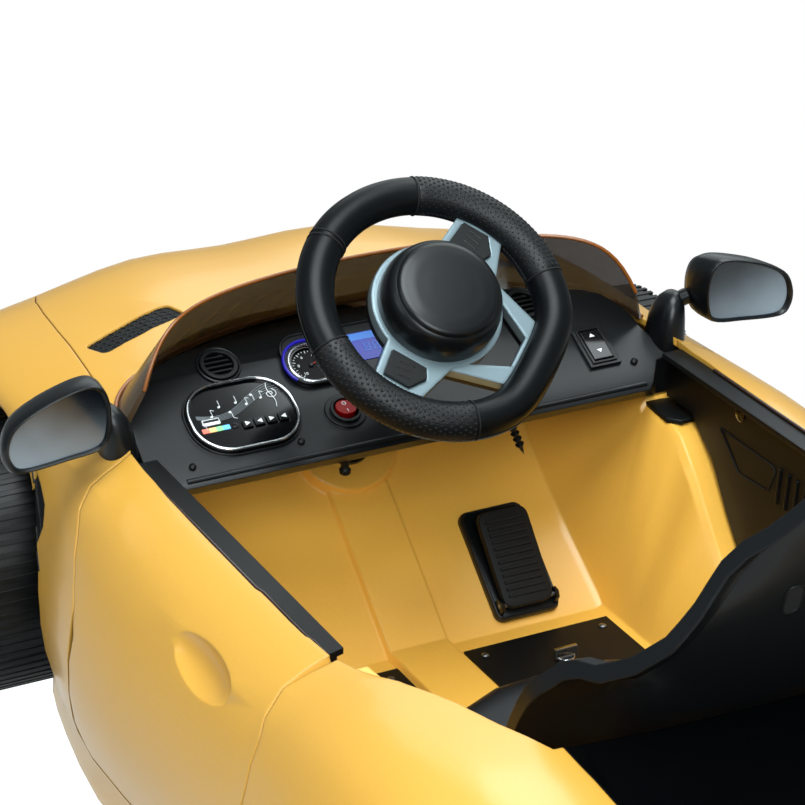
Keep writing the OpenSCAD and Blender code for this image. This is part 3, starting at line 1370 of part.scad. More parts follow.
module battery() {
    color("#35383c") translate([-battery_l / 2, (box_front_y + box_rear_y) / 2 - battery_w / 2, up(floor_h + strip_h) + part_gap]) {
        cube([battery_l, battery_w, battery_h]);
        for (s = [0.15, 0.85]) translate([battery_l * s, battery_w * 0.15, battery_h - over]) cube([battery_h * 0.08, battery_h * 0.03, battery_h * 0.06 + over]);
    }
}

// Accelerator pedal on the ramp
pedal_x = -93;
pedal_up = 6;
pedal_press = 8;

module on_ramp() {
    translate([pedal_x, ramp_foot_y, up(floor_h)]) mirror([0, 1, 0]) rotate([ramp_angle, 0, 0])
        translate([0, pedal_up, part_gap]) children();
}

module pedal_base() {
    w = pedal_w + 12;
    l = pedal_l + 14;
    h = 6;
    color(black) on_ramp() difference() {
        union() {
            translate([-w / 2, 0, 0]) cube([w, l, h]);
            for (s = [-1, 1]) translate([s * (pedal_w / 2 + part_gap + 2) - 2, 4, h - over]) cube([4, 12, 9 + over]);
        }
        translate([-w / 2 + 6, 18, 2]) cube([w - 12, l - 24, h]);
        pedal_pivot(w, run_fit);
    }
}

module pedal_pivot(w, fit) {
    translate([-w / 2 - over, 10, 10]) rotate([0, 90, 0]) cylinder(d = 4 + 2 * fit, h = w + 2 * over, $fn = round_fn);
}

module accelerator_pedal() {
    color(black) on_ramp() {
        translate([0, 10, 10]) rotate([pedal_press, 0, 0]) translate([-pedal_w / 2, -4, -3]) {
            cube([pedal_w, pedal_l, 6]);
            for (i = [0:7]) translate([4, 12 + i * 7, 6 - over]) cube([pedal_w - 8, 3, 2 + over]);
        }
        pedal_pivot(pedal_w + 5, 0);
    }
}

// Mirrors
mirror_x = 268;
mirror_y = -127;
mirror_z = 280;
mirror_deep = 32;
glass_t = 2;
mirror_rim = mirror_w * 0.1;

module left_mirror() {
    foot_x = 223;
    foot_y = mirror_y - 25.5;
    neck_z = up(mirror_z - mirror_l * 0.32);
    foot_w = mirror_w * 0.38;
    foot_l = mirror_w * 0.44;
    foot_r = mirror_w * 0.1;
    color(black) meshed() difference() {
        union() {
            hull() {
                translate([mirror_x, mirror_y, up(mirror_z)]) rotate([90, 0, 0]) linear_extrude(glass_t * 2)
                    rounded_rect(mirror_w, mirror_l, mirror_l * 0.36);
                translate([mirror_x, mirror_y - mirror_deep * 0.7, up(mirror_z)]) rotate([90, 0, 0])
                    linear_extrude(glass_t) rounded_rect(mirror_w * 0.84, mirror_l * 0.74, mirror_l * 0.3);
                translate([mirror_x - mirror_w * 0.1, mirror_y - mirror_deep, up(mirror_z)]) rotate([90, 0, 0])
                    linear_extrude(glass_t) rounded_rect(mirror_w * 0.5, mirror_l * 0.4, mirror_l * 0.18);
            }
            hull() {
                translate([foot_x, foot_y, up(crest_h * 0.9)]) linear_extrude(glass_t) rounded_rect(foot_w, foot_l, foot_r);
                translate([foot_x + foot_r, foot_y, neck_z]) linear_extrude(glass_t) rounded_rect(foot_w * 0.8, foot_l * 0.75, foot_r);
            }
            hull() {
                translate([foot_x + foot_r, foot_y, neck_z]) linear_extrude(glass_t) rounded_rect(foot_w * 0.8, foot_l * 0.75, foot_r);
                translate([mirror_x - mirror_w * 0.4, mirror_y - 20, up(mirror_z - mirror_l * 0.36)])
                    linear_extrude(mirror_l * 0.3) rounded_rect(foot_w * 0.5, foot_l * 0.7, foot_r * 0.8);
            }
        }
        body_solid(-4 * part_gap);
        translate([mirror_x, mirror_y + over, up(mirror_z)]) rotate([90, 0, 0]) linear_extrude(glass_t * 1.5 + over)
            rounded_rect(mirror_w - mirror_rim, mirror_l - mirror_rim, mirror_l * 0.3);
    }
}

module right_mirror() { mirror([1, 0, 0]) left_mirror(); }

module mirror_glasses() {
    w = mirror_w - mirror_rim - part_gap;
    l = mirror_l - mirror_rim - part_gap;
    color("#b8c4cf") mirrored() translate([mirror_x, mirror_y - glass_t * half, up(mirror_z)]) rotate([90, 0, 0])
        linear_extrude(glass_t) rounded_rect(w, l, mirror_l * 0.3);
}

base_plate();
base_ring();
pump_housing();
pump_piston();
pump_lever();
lever_pad();
lever_pin();
swivel_plate();
mount_frame();
mount_bolts();
chassis_pan();
footwell_tub();
body_shell();
bonnet();
front_grille();
lamps();
rear_deck();
windscreen();
body_vents();
left_door();
right_door();
left_door_card();
right_door_card();
door_hinges();
left_mirror();
right_mirror();
mirror_glasses();
dashboard();
dash_vents();
instrument_pod();
music_panel();
music_button_1();
music_button_2();
music_button_3();
music_button_4();
switch_bezels();
power_rocker();
direction_rocker();
steering_rim();
hub_cover();
spoke_frame();
spoke_button_left();
spoke_button_right();
steering_shaft();
column_bush();
tie_rod();
left_knuckle();
right_knuckle();
front_left_wheel();
front_right_wheel();
rear_left_wheel();
rear_right_wheel();
rear_axle();
drive_motors();
seat();
seat_base();
seat_knob();
battery();
pedal_base();
accelerator_pedal();
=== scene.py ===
"""Dresses the children's car barber chair: finishes, small fittings, studio and camera.

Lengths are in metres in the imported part's frame: the origin is on the floor at the pedestal
axis, +X is the car's left, +Y its rear and +Z is up.
"""
import logging
import math
from collections.abc import Sequence
from dataclasses import dataclass, field
from enum import Enum
from functools import cache
from itertools import product

import bmesh
import bpy
from mathutils import Matrix, Vector
from mathutils.bvhtree import BVHTree


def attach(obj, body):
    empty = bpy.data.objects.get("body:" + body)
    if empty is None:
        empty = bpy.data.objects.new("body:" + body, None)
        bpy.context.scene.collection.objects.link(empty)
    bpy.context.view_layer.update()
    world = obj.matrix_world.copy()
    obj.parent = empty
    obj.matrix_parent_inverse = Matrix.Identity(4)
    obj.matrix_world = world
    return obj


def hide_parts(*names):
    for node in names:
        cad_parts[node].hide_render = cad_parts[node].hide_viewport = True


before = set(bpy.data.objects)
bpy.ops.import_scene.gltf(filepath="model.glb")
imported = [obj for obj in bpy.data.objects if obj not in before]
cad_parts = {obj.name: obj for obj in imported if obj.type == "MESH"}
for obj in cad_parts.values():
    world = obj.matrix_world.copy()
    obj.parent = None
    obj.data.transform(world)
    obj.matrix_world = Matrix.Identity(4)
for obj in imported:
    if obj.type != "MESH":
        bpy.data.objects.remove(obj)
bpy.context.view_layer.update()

LOG = logging.getLogger("barber_car")
Pair = tuple[float, float]
Point = tuple[float, float, float]
Colour = tuple[float, float, float]

# Places and sizes shared with the solids
GROUND = 0.4253
WHEEL_CENTRE = (0.0, -0.1, GROUND + 0.318)
COLUMN_TILT = -42.0
WHEEL_CLOCK = 45.0
FACE_ORIGIN = (0.0, -0.195, GROUND + 0.259)
FACE_TILT = -27.4
ROCKER_PLACE = (0.049, 0.0586)
RIM_MAJOR = 0.086
RIM_TUBE = 0.013
AXLE_HEIGHT = 0.1

SIDES = ((1, "left"), (-1, "right"))
LEFTWARD, REARWARD, UPWARD = Vector((1, 0, 0)), Vector((0, 1, 0)), Vector((0, 0, 1))
WELD = 1e-7
SKIN_WELD = 2e-6


def srgb(red: int, green: int, blue: int) -> Colour:
    """Returns a screen colour of 0 to 255 a channel as the linear colour that shaders take."""
    channels = (red / 255, green / 255, blue / 255)
    return tuple(c / 12.92 if c <= 0.04045 else ((c + 0.055) / 1.055) ** 2.4 for c in channels)


def above(height: float) -> float:
    """Returns the frame's height of a place that is so high above the tyres' lowest point."""
    return GROUND + height


def shift(x: float, y: float, z: float = 0.0) -> Matrix:
    """Returns a frame moved by that much."""
    return Matrix.Translation((x, y, z))


def turned(degrees: float, axis: str) -> Matrix:
    """Returns a frame turned about an axis."""
    return Matrix.Rotation(math.radians(degrees), 4, axis)


def face_frame(x: float, down: float, out: float = 0.0) -> Matrix:
    """Returns the frame on the dashboard's face: +X to the car's left, +Y down it, +Z out."""
    return shift(*FACE_ORIGIN) @ turned(FACE_TILT, "X") @ shift(x, down, out)


def wheel_frame() -> Matrix:
    """Returns the steering wheel's frame: +Z towards the driver, +Y to its flat bottom."""
    return shift(*WHEEL_CENTRE) @ turned(COLUMN_TILT, "X") @ turned(WHEEL_CLOCK, "Z")


def facing(place: Vector, out: Vector, along: Vector) -> Matrix:
    """Returns a frame at a place with +Z out of the surface and +X near a direction.

    Args:
        place: where the frame is.
        out: the way out of the surface.
        along: the direction.

    Returns:
        The frame.
    """
    z = out.normalized()
    x = (along - z * along.dot(z)).normalized()
    return Matrix.Translation(place) @ Matrix((x, z.cross(x), z)).transposed().to_4x4()


def spaced(first: float, last: float, count: int) -> list[float]:
    """Returns evenly spaced numbers, both ends among them."""
    return [first + (last - first) * k / (count - 1) for k in range(count)]


def circle(radius: float, count: int, z: float = 0.0) -> list[Point]:
    """Returns the points of a circle about +Z."""
    return [(radius * math.cos(a), radius * math.sin(a), z) for a in spaced(0, 2 * math.pi, count + 1)[:-1]]


def rounded(width: float, length: float, radius: float, steps: int = 6) -> list[Pair]:
    """Returns the outline of a rounded rectangle.

    Args:
        width: its size along +X.
        length: its size along +Y.
        radius: the radius of its corners.
        steps: the number of steps round a corner.

    Returns:
        The outline.
    """
    outline = []
    for sx, sy, start in ((1, 1, 0), (-1, 1, 90), (-1, -1, 180), (1, -1, 270)):
        for a in map(math.radians, spaced(start, start + 90, steps + 1)):
            outline.append((sx * (width / 2 - radius) + radius * math.cos(a),
                            sy * (length / 2 - radius) + radius * math.sin(a)))
    return outline


def curve_at(points: Sequence[Vector], f: float) -> Vector:
    """Returns the place at a share of the way between the middle two of four points."""
    a, b, c, d = points
    return 0.5 * (2 * b + (c - a) * f + (2 * a - 5 * b + 4 * c - d) * f ** 2 + (3 * b - a - 3 * c + d) * f ** 3)


def smoothed(outline: Sequence[Pair], steps: int) -> list[Vector]:
    """Returns a closed outline rounded off through its points, with so many places to each.

    Args:
        outline: the points that it passes through.
        steps: the places from each point to the next.

    Returns:
        The finer outline.
    """
    n = len(outline)
    around = [[Vector(outline[(i + k) % n]) for k in (-1, 0, 1, 2)] for i in range(n)]
    return [curve_at(points, step / steps) for points in around for step in range(steps)]


class Net:
    """The nodes of one tree."""

    def __init__(self, tree: bpy.types.NodeTree) -> None:
        """Takes a tree's nodes and links."""
        self.nodes, self.links = tree.nodes, tree.links

    @staticmethod
    def pick(sockets: bpy.types.bpy_prop_collection, name: str | int) -> bpy.types.NodeSocket:
        """Returns the socket of that number, or the one in use of that name."""
        return sockets[name] if isinstance(name, int) else next(s for s in sockets if s.name == name and s.enabled)

    def node(self, kind: str, inputs: dict | None = None, **settings: object) -> bpy.types.Node:
        """Adds a node.

        Args:
            kind: the node's type.
            inputs: values, sockets or fields for its sockets, by name or number.
            **settings: its settings, set first.

        Returns:
            The node.
        """
        made = self.nodes.new(kind)
        for key, value in settings.items():
            setattr(made, key, value)
        for key, value in (inputs or {}).items():
            target = self.pick(made.inputs, key)
            value = value.socket if isinstance(value, Field) else value
            if isinstance(value, bpy.types.NodeSocket):
                self.links.new(value, target)
            else:
                target.default_value = value
        return made

    def out(self, kind: str, inputs: dict | None = None, output: str | int = 0,
            **settings: object) -> bpy.types.NodeSocket:
        """Adds a node and returns one of its outputs."""
        return self.pick(self.node(kind, inputs, **settings).outputs, output)


class ShaderNet(Net):
    """The shader nodes of a material or of the world."""

    def __init__(self, owner: bpy.types.ID, output: str = "ShaderNodeOutputMaterial") -> None:
        """Empties the owner's tree and adds its output.

        Args:
            owner: the material or the world.
            output: the type of its output node.
        """
        owner.use_nodes = True
        super().__init__(owner.node_tree)
        self.owner = owner
        self.nodes.clear()
        self.output = self.nodes.new(output)

    def field(self, kind: str, inputs: dict | None = None, output: str | int = 0, **settings: object) -> "Field":
        """Adds a node and returns one of its outputs as a field."""
        return Field(self, self.out(kind, inputs, output, **settings))

    def places(self, stretch: Point = (1, 1, 1)) -> "Field":
        """Returns the surface's place on its object, stretched."""
        at = self.field("ShaderNodeTexCoord", output="Object")
        return self.field("ShaderNodeMapping", {"Vector": at, "Scale": stretch})

    def axes(self, at: "Field") -> list["Field"]:
        """Returns the three parts of a place."""
        parts = self.node("ShaderNodeSeparateXYZ", {"Vector": at})
        return [Field(self, part) for part in parts.outputs]

    def noise(self, at: "Field", size: float, detail: float = 2.0) -> "Field":
        """Returns soft noise whose blotches have that size."""
        return self.field("ShaderNodeTexNoise", {"Vector": at, "Scale": 1 / size, "Detail": detail}, "Fac")

    def cells(self, at: "Field", size: float) -> "Field":
        """Returns the distance from the middles of cells of that size."""
        return self.field("ShaderNodeTexVoronoi", {"Vector": at, "Scale": 1 / size}, "Distance")

    def mix(self, low: Colour, high: Colour, share: "Field") -> "Field":
        """Returns a colour between two others."""
        inputs = {"A": (*low, 1), "B": (*high, 1), "Factor": share}
        return self.field("ShaderNodeMix", inputs, "Result", data_type="RGBA", clamp_factor=True)

    def bump(self, height: "Field", depth: float, edge: float) -> "Field":
        """Returns a normal that follows a height.

        Args:
            height: the height, from 0 to 1.
            depth: how deep 1 is.
            edge: the radius that eases the edges, or 0.

        Returns:
            The normal.
        """
        inputs = {"Height": height, "Distance": depth, "Strength": 1.0}
        if edge:
            inputs["Normal"] = self.field("ShaderNodeBevel", {"Radius": edge}, samples=4)
        return self.field("ShaderNodeBump", inputs)

    def end(self, shader: bpy.types.NodeSocket) -> bpy.types.ID:
        """Leads a shader to the output and returns the material or the world."""
        self.links.new(shader, self.output.inputs["Surface"])
        return self.owner


class Field:
    """A number or colour that varies over a surface, for use in plain sums."""

    def __init__(self, net: ShaderNet, socket: bpy.types.NodeSocket) -> None:
        """Wraps a socket of a net."""
        self.net, self.socket = net, socket

    def _sum(self, operation: str, *terms: object) -> "Field":
        """Adds one Math node."""
        return self.net.field("ShaderNodeMath", dict(enumerate(terms)), operation=operation)

    def __add__(self, other: object) -> "Field":
        """Adds."""
        return self._sum("ADD", self, other)

    def __radd__(self, other: object) -> "Field":
        """Adds from the left."""
        return self._sum("ADD", other, self)

    def __sub__(self, other: object) -> "Field":
        """Takes away."""
        return self._sum("SUBTRACT", self, other)

    def __rsub__(self, other: object) -> "Field":
        """Is taken away."""
        return self._sum("SUBTRACT", other, self)

    def __mul__(self, other: object) -> "Field":
        """Multiplies."""
        return self._sum("MULTIPLY", self, other)

    def __rmul__(self, other: object) -> "Field":
        """Multiplies from the left."""
        return self._sum("MULTIPLY", other, self)

    def __pow__(self, other: object) -> "Field":
        """Raises to a power."""
        return self._sum("POWER", self, other)

    def __abs__(self) -> "Field":
        """Drops the sign."""
        return self._sum("ABSOLUTE", self)

    def step(self, low: float, high: float) -> "Field":
        """Returns a soft step from 0 at low to 1 at high."""
        inputs = {"Value": self, "From Min": low, "From Max": high}
        return self.net.field("ShaderNodeMapRange", inputs, "Result", interpolation_type="SMOOTHSTEP")


@dataclass(frozen=True)
class Finish:
    """A moulded, painted or plated finish."""

    name: str
    slot: str
    colour: Colour
    rough: float
    metallic: float = 0.0
    coat: float = 0.0
    shade: float = 0.15
    patch: float = 0.11
    grain: float = 2e-5
    grain_size: float = 0.0012
    edge: float = 0.0012
    spread: float = 0.08
    specular: float = 0.5

    def height(self, net: ShaderNet, at: Field) -> Field:
        """Returns the height of the finish's fine grain."""
        return net.noise(at, self.grain_size, 3)

    def coats(self) -> dict:
        """Returns the shader's own settings."""
        return {"Metallic": self.metallic, "Coat Weight": self.coat, "Coat Roughness": 0.12,
                "Specular IOR Level": self.specular}

    def stretch(self) -> Point:
        """Returns how the pattern is stretched along the axes."""
        return (1, 1, 1)

    def surface(self, net: ShaderNet) -> dict:
        """Works out what varies over the surface.

        Args:
            net: the material's nodes.

        Returns:
            The shader's colour, roughness and normal.
        """
        grain = self.height(net, net.places(self.stretch()))
        patches = net.noise(net.places(), self.patch, 4)
        dark = tuple(c * (1 - 2 * self.shade) for c in self.colour)
        marks = patches.step(0.3, 0.75) * 0.7 + grain.step(0.35, 0.7) * 0.3
        return {"Base Color": net.mix(self.colour, dark, marks),
                "Roughness": patches * self.spread * 2 + (self.rough - self.spread),
                "Normal": net.bump(grain, self.grain, self.edge)}

    def build(self) -> bpy.types.Material:
        """Builds the material."""
        net = ShaderNet(bpy.data.materials.new(self.name))
        return net.end(net.out("ShaderNodeBsdfPrincipled", {**self.surface(net), **self.coats()}))


@dataclass(frozen=True)
class Leather(Finish):
    """Pebbled leather: small cells with creases between them."""

    def height(self, net: ShaderNet, at: Field) -> Field:
        """Returns the height of the pebbles."""
        wander = net.noise(at, self.grain_size * 5, 2)
        return net.cells(at, self.grain_size).step(0.0, 0.6) * 0.8 + wander * 0.6


@dataclass(frozen=True)
class Brushed(Finish):
    """Metal with fine brush marks along one axis."""

    along: Point = (1, 1, 0.04)

    def stretch(self) -> Point:
        """Returns the stretch that draws the grain out into brush marks."""
        return self.along


@dataclass(frozen=True)
class Clear(Finish):
    """A see-through or tinted moulding."""

    alpha: float = 0.5

    def coats(self) -> dict:
        """Returns the shader's own settings, with the share of light that it stops."""
        return {**super().coats(), "Alpha": self.alpha, "IOR": 1.49}


@dataclass(frozen=True)
class PaintedReflectionGlass(Finish):
    """A mirror glass with a painted reflection: dark at its top inner corner and paler towards its foot."""

    # the pale end colour of the painted reflection
    far: Colour = (0.3, 0.35, 0.4)

    def surface(self, net: ShaderNet) -> dict:
        """Works out what varies over the surface.

        Args:
            net: the material's nodes.

        Returns:
            The shader's colour, roughness and normal.
        """
        at = net.places()
        x, _, height = net.axes(at)
        # painted reflection: dark high up and inboard, paler low down and outboard
        reflection_fall = (0.7 - height) * 16 + (abs(x) - 0.27) * 9 + net.noise(at, 0.05, 2) * 0.5
        return {"Base Color": net.mix(self.colour, self.far, reflection_fall.step(-0.35, 1.25)),
                "Roughness": net.noise(at, self.patch, 3) * self.spread + self.rough,
                "Normal": net.bump(self.height(net, at), self.grain, self.edge)}


@dataclass(frozen=True)
class Lit(Finish):
    """A surface that is lit from behind."""

    glow: float = 0.4
    edge: float = 0.0

    def coats(self) -> dict:
        """Returns the shader's own settings, with its own light."""
        return {**super().coats(), "Emission Color": (*self.colour, 1), "Emission Strength": self.glow}


class Look(Enum):
    """The finishes of this part."""

    BODY = Finish("body_yellow_plastic", "body_yellow", srgb(217, 163, 66), 0.3, coat=0.25, shade=0.03, grain=6e-6,
                  grain_size=0.0022, edge=0.0022, patch=0.2, spread=0.05)
    # the tub's own yellow, lightened as painted light for the light that the inside of the tub does not get
    TUB = Finish("tub_yellow_with_painted_light", "tub_yellow", srgb(254, 192, 80), 0.3, coat=0.3, shade=0.035, grain=1e-5,
                 grain_size=0.002, edge=0.003, patch=0.2)
    SATIN = Finish("black_satin_plastic", "trim_black", srgb(8, 11, 13), 0.34, shade=0.12, grain=1e-5, coat=0.1,
                   specular=0.35)
    CARD = Finish("black_grained_plastic", "trim_black", srgb(7, 9, 10), 0.46, specular=0.3, shade=0.12, grain=5e-5,
                  grain_size=0.0009)
    SEAT = Finish("seat_black_plastic", "trim_black", srgb(10, 13, 16), 0.38, shade=0.1, grain=1e-5, coat=0.08,
                  specular=0.28, edge=0.002)
    GLOSS = Finish("gloss_black_plastic", "gloss_black", srgb(2, 3, 4), 0.1, coat=0.35, specular=0.45, shade=0.1,
                   grain=2e-6, spread=0.03)
    RIM = Leather("smooth_leather", "rim_leather", srgb(8, 11, 13), 0.36, grain=5e-5, grain_size=0.0011, specular=0.22)
    RIM_PATCH = Leather("perforated_leather", "rim_leather", srgb(13, 16, 18), 0.44, shade=0.2, grain=1.2e-4,
                        specular=0.35, grain_size=0.0014)
    # near-black: painted shade inside holes and slots and along recess edges, and also the seams' own dark colour
    HOLE = Finish("hole_shade_and_seam_black", "rim_leather", srgb(4, 5, 6), 0.8, shade=0.1, edge=0)
    THREAD = Finish("black_thread", "rim_leather", srgb(12, 13, 15), 0.7, shade=0.2, grain=8e-5, grain_size=0.0005,
                    edge=0)
    SILVER = Finish("silver_paint", "spoke_silver", srgb(140, 160, 168), 0.3, metallic=0.5, coat=0.35, shade=0.05,
                    grain=4e-6, grain_size=0.0006, edge=0.0028)
    CHROME = Finish("chrome_plate", "chrome", srgb(214, 216, 219), 0.07, metallic=1.0, shade=0.03, grain=2e-6,
                    spread=0.03)
    POLISHED = Brushed("brushed_chrome", "chrome", srgb(196, 199, 203), 0.2, metallic=1.0, shade=0.05, grain=1e-5,
                       grain_size=0.002)
    STEEL = Brushed("drawn_steel", "steel", srgb(150, 154, 158), 0.34, metallic=1.0, shade=0.12, along=(0.05, 1, 1))
    FRAME = Finish("powder_coat", "frame_paint", srgb(18, 19, 21), 0.5, shade=0.1, grain=6e-5, grain_size=0.001)
    RUBBER = Finish("black_rubber", "rubber", srgb(9, 9, 10), 0.6, shade=0.2, grain=5e-5, specular=0.3)
    TYRE = Finish("tyre_black_plastic", "tyre_black", srgb(5, 7, 9), 0.42, grain=3e-5, grain_size=0.0015, specular=0.28)
    LENS = Clear("lamp_lens", "lamp_clear", srgb(205, 214, 220), 0.08, coat=1.0, shade=0.04, alpha=0.75, edge=0.001)
    TAIL = Clear("tail_lamp_lens", "lamp_clear", srgb(150, 10, 8), 0.1, coat=0.6, shade=0.05, alpha=0.85, edge=0.001)
    SCREEN = Clear("tinted_screen", "screen_brown", srgb(84, 66, 48), 0.2, coat=0.25, shade=0.03, alpha=0.8,
                   grain=2e-6, edge=0)
    SCREEN_EDGE = Finish("amber_screen_edge", "screen_brown", srgb(150, 84, 22), 0.25, coat=0.5, shade=0.2)
    # mirror glass coloured with a painted reflection that pales towards its foot
    GLASS = PaintedReflectionGlass("silvered_glass", "mirror_glass", srgb(14, 19, 25), 0.1, coat=0.4, far=srgb(148, 164, 178),
                   grain=1e-6, edge=0, spread=0.02, specular=0.4)
    DIAL = Finish("dial_black", "gloss_black", srgb(2, 2, 3), 0.5, shade=0.1, specular=0.2, edge=0)
    # black trim strip coloured brown as a painted reflection of the yellow bodywork
    STRIP = Finish("black_strip_painted_reflection", "trim_black", srgb(44, 22, 10), 0.14, coat=0.6, shade=0.2)
    RED = Finish("rocker_red_plastic", "rocker_red", srgb(140, 0, 0), 0.34, specular=0.12, shade=0.1, grain=3e-6)
    WHITE = Finish("white_print", "button_grey", srgb(236, 238, 240), 0.5, shade=0.04, edge=0)
    PRINT = Finish("grey_print", "button_grey", srgb(150, 158, 164), 0.5, shade=0.06, edge=0)
    NEEDLE = Finish("needle_red", "rocker_red", srgb(226, 40, 30), 0.4, shade=0.05, edge=0)
    DISPLAY = Lit("display_blue", "gloss_black", srgb(22, 44, 176), 0.25, coat=0.2, shade=0.3, glow=0.3)
    GLOW = Lit("glow_blue", "gloss_black", srgb(30, 18, 170), 0.3, shade=0.2, glow=0.22)
    DIGIT = Lit("display_digit", "gloss_black", srgb(70, 128, 214), 0.3, shade=0.1, glow=0.25)
    BAR_RED = Lit("bar_red", "button_grey", srgb(226, 112, 92), 0.3, shade=0.05)
    BAR_ORANGE = Lit("bar_orange", "button_grey", srgb(226, 186, 120), 0.3, shade=0.05)
    BAR_GREEN = Lit("bar_green", "button_grey", srgb(128, 205, 138), 0.3, shade=0.05)
    BAR_BLUE = Lit("bar_blue", "button_grey", srgb(96, 178, 232), 0.3, shade=0.05)

    @property
    @cache
    def material(self) -> bpy.types.Material:
        """Returns the finish's material, built on first use."""
        return self.value.build()


def add_object(name: str, data: bpy.types.ID) -> bpy.types.Object:
    """Links a mesh, a lamp, a camera or a text into the scene as an object at the origin.

    Args:
        name: the object's name.
        data: what it shows.

    Returns:
        The object.
    """
    made = bpy.data.objects.new(name, data)
    bpy.context.scene.collection.objects.link(made)
    return made


def baked(holder: bpy.types.Object) -> bpy.types.Mesh:
    """Returns what a helper object comes to as a plain mesh, and removes the helper.

    Args:
        holder: the helper.

    Returns:
        The mesh.
    """
    bpy.context.view_layer.update()
    mesh = bpy.data.meshes.new_from_object(holder.evaluated_get(bpy.context.evaluated_depsgraph_get()))
    holder.modifiers.clear()
    bpy.data.objects.remove(holder)
    return mesh


class Stamp(Enum):
    """The small shapes that repeat."""

    DISC = "disc"
    BLOCK = "block"
    DOME = "dome"
    CELL = "cell"


class GeometryNet(Net):
    """A geometry tree with named inputs that ends in Realize Instances and Set Material."""

    def __init__(self, name: str, *sizes: str) -> None:
        """Starts a tree.

        Args:
            name: the tree's name.
            *sizes: the names of its size inputs.
        """
        self.tree = bpy.data.node_groups.new(name, "GeometryNodeTree")
        super().__init__(self.tree)
        sockets = [("Geometry", "INPUT", "Geometry"), *((size, "INPUT", "Float") for size in sizes),
                   ("Finish", "INPUT", "Material"), ("Geometry", "OUTPUT", "Geometry")]
        for label, way, kind in sockets:
            self.tree.interface.new_socket(name=label, in_out=way, socket_type="NodeSocket" + kind)
        self.entry = self.nodes.new("NodeGroupInput").outputs
        self.exit = self.nodes.new("NodeGroupOutput").inputs

    def attribute(self, name: str) -> bpy.types.NodeSocket:
        """Returns a vector that the points carry."""
        return self.out("GeometryNodeInputNamedAttribute", {"Name": name}, "Attribute", data_type="FLOAT_VECTOR")

    def close(self, shape: bpy.types.NodeSocket, smooth: bool) -> None:
        """Ends the tree: instances made real, shaded and given the finish.

        Args:
            shape: what the tree has made.
            smooth: whether its faces are shaded smooth.
        """
        real = self.out("GeometryNodeRealizeInstances", {"Geometry": shape})
        eased = self.out("GeometryNodeSetShadeSmooth", {"Geometry": real, "Shade Smooth": smooth})
        painted = self.out("GeometryNodeSetMaterial", {"Geometry": eased, "Material": self.entry["Finish"]})
        self.links.new(painted, self.exit[0])

    def run(self, carrier: bpy.types.Mesh, look: Look, sizes: dict[str, float]) -> bpy.types.Mesh:
        """Runs the tree.

        Args:
            carrier: the points or lines that it works on.
            look: the finish that it sets.
            sizes: the values of its size inputs.

        Returns:
            The mesh that it makes.
        """
        holder = add_object(carrier.name, carrier)
        step = holder.modifiers.new("made", "NODES")
        step.node_group = self.tree
        values = {**sizes, "Finish": look.material}
        for item in self.tree.interface.items_tree:
            if item.in_out == "INPUT" and item.name in values:
                step[item.identifier] = values[item.name]
        return baked(holder)


@cache
def stamp_tree(stamp: Stamp) -> GeometryNet:
    """Builds the tree that sets one small shape on each point, turned and sized as the point says.

    Args:
        stamp: the shape.

    Returns:
        The tree.
    """
    net = GeometryNet(f"stamp_{stamp.value}", "Width", "Length", "Height")
    size = net.out("ShaderNodeCombineXYZ", dict(zip("XYZ", net.entry[1:4])))
    if stamp is Stamp.DISC:
        shape = net.out("GeometryNodeMeshCylinder", {"Vertices": 12, "Radius": 0.5, "Depth": 1.0})
    elif stamp is Stamp.DOME:
        shape = net.out("GeometryNodeMeshUVSphere", {"Segments": 12, "Rings": 6, "Radius": 0.5})
    elif stamp is Stamp.CELL:
        ring = net.out("GeometryNodeMeshCircle", {"Vertices": 6, "Radius": 0.5})
        line = net.out("GeometryNodeMeshToCurve", {"Mesh": ring})
        wire = net.out("GeometryNodeCurvePrimitiveCircle", {"Resolution": 4, "Radius": 0.09})
        shape = net.out("GeometryNodeCurveToMesh", {"Curve": line, "Profile Curve": wire})
    else:
        shape = net.out("GeometryNodeMeshCube", {"Size": (1.0, 1.0, 1.0)})
    sized = net.out("GeometryNodeTransform", {"Geometry": shape, "Scale": size})
    turn = net.out("FunctionNodeEulerToRotation", {"Euler": net.attribute("turn")})
    inputs = {"Points": net.entry[0], "Instance": sized, "Rotation": turn, "Scale": net.attribute("size")}
    net.close(net.out("GeometryNodeInstanceOnPoints", inputs), stamp is not Stamp.BLOCK)
    return net


@cache
def bead_tree() -> GeometryNet:
    """Builds the tree that draws a round bead along lines.

    Returns:
        The tree.
    """
    net = GeometryNet("bead", "Radius")
    line = net.out("GeometryNodeMeshToCurve", {"Mesh": net.entry[0]})
    ring = net.out("GeometryNodeCurvePrimitiveCircle", {"Resolution": 10, "Radius": net.entry["Radius"]})
    net.close(net.out("GeometryNodeCurveToMesh", {"Curve": line, "Profile Curve": ring, "Fill Caps": True}), True)
    return net


@dataclass
class Spot:
    """A point that carries a small shape."""

    place: Matrix
    size: Point = (1.0, 1.0, 1.0)


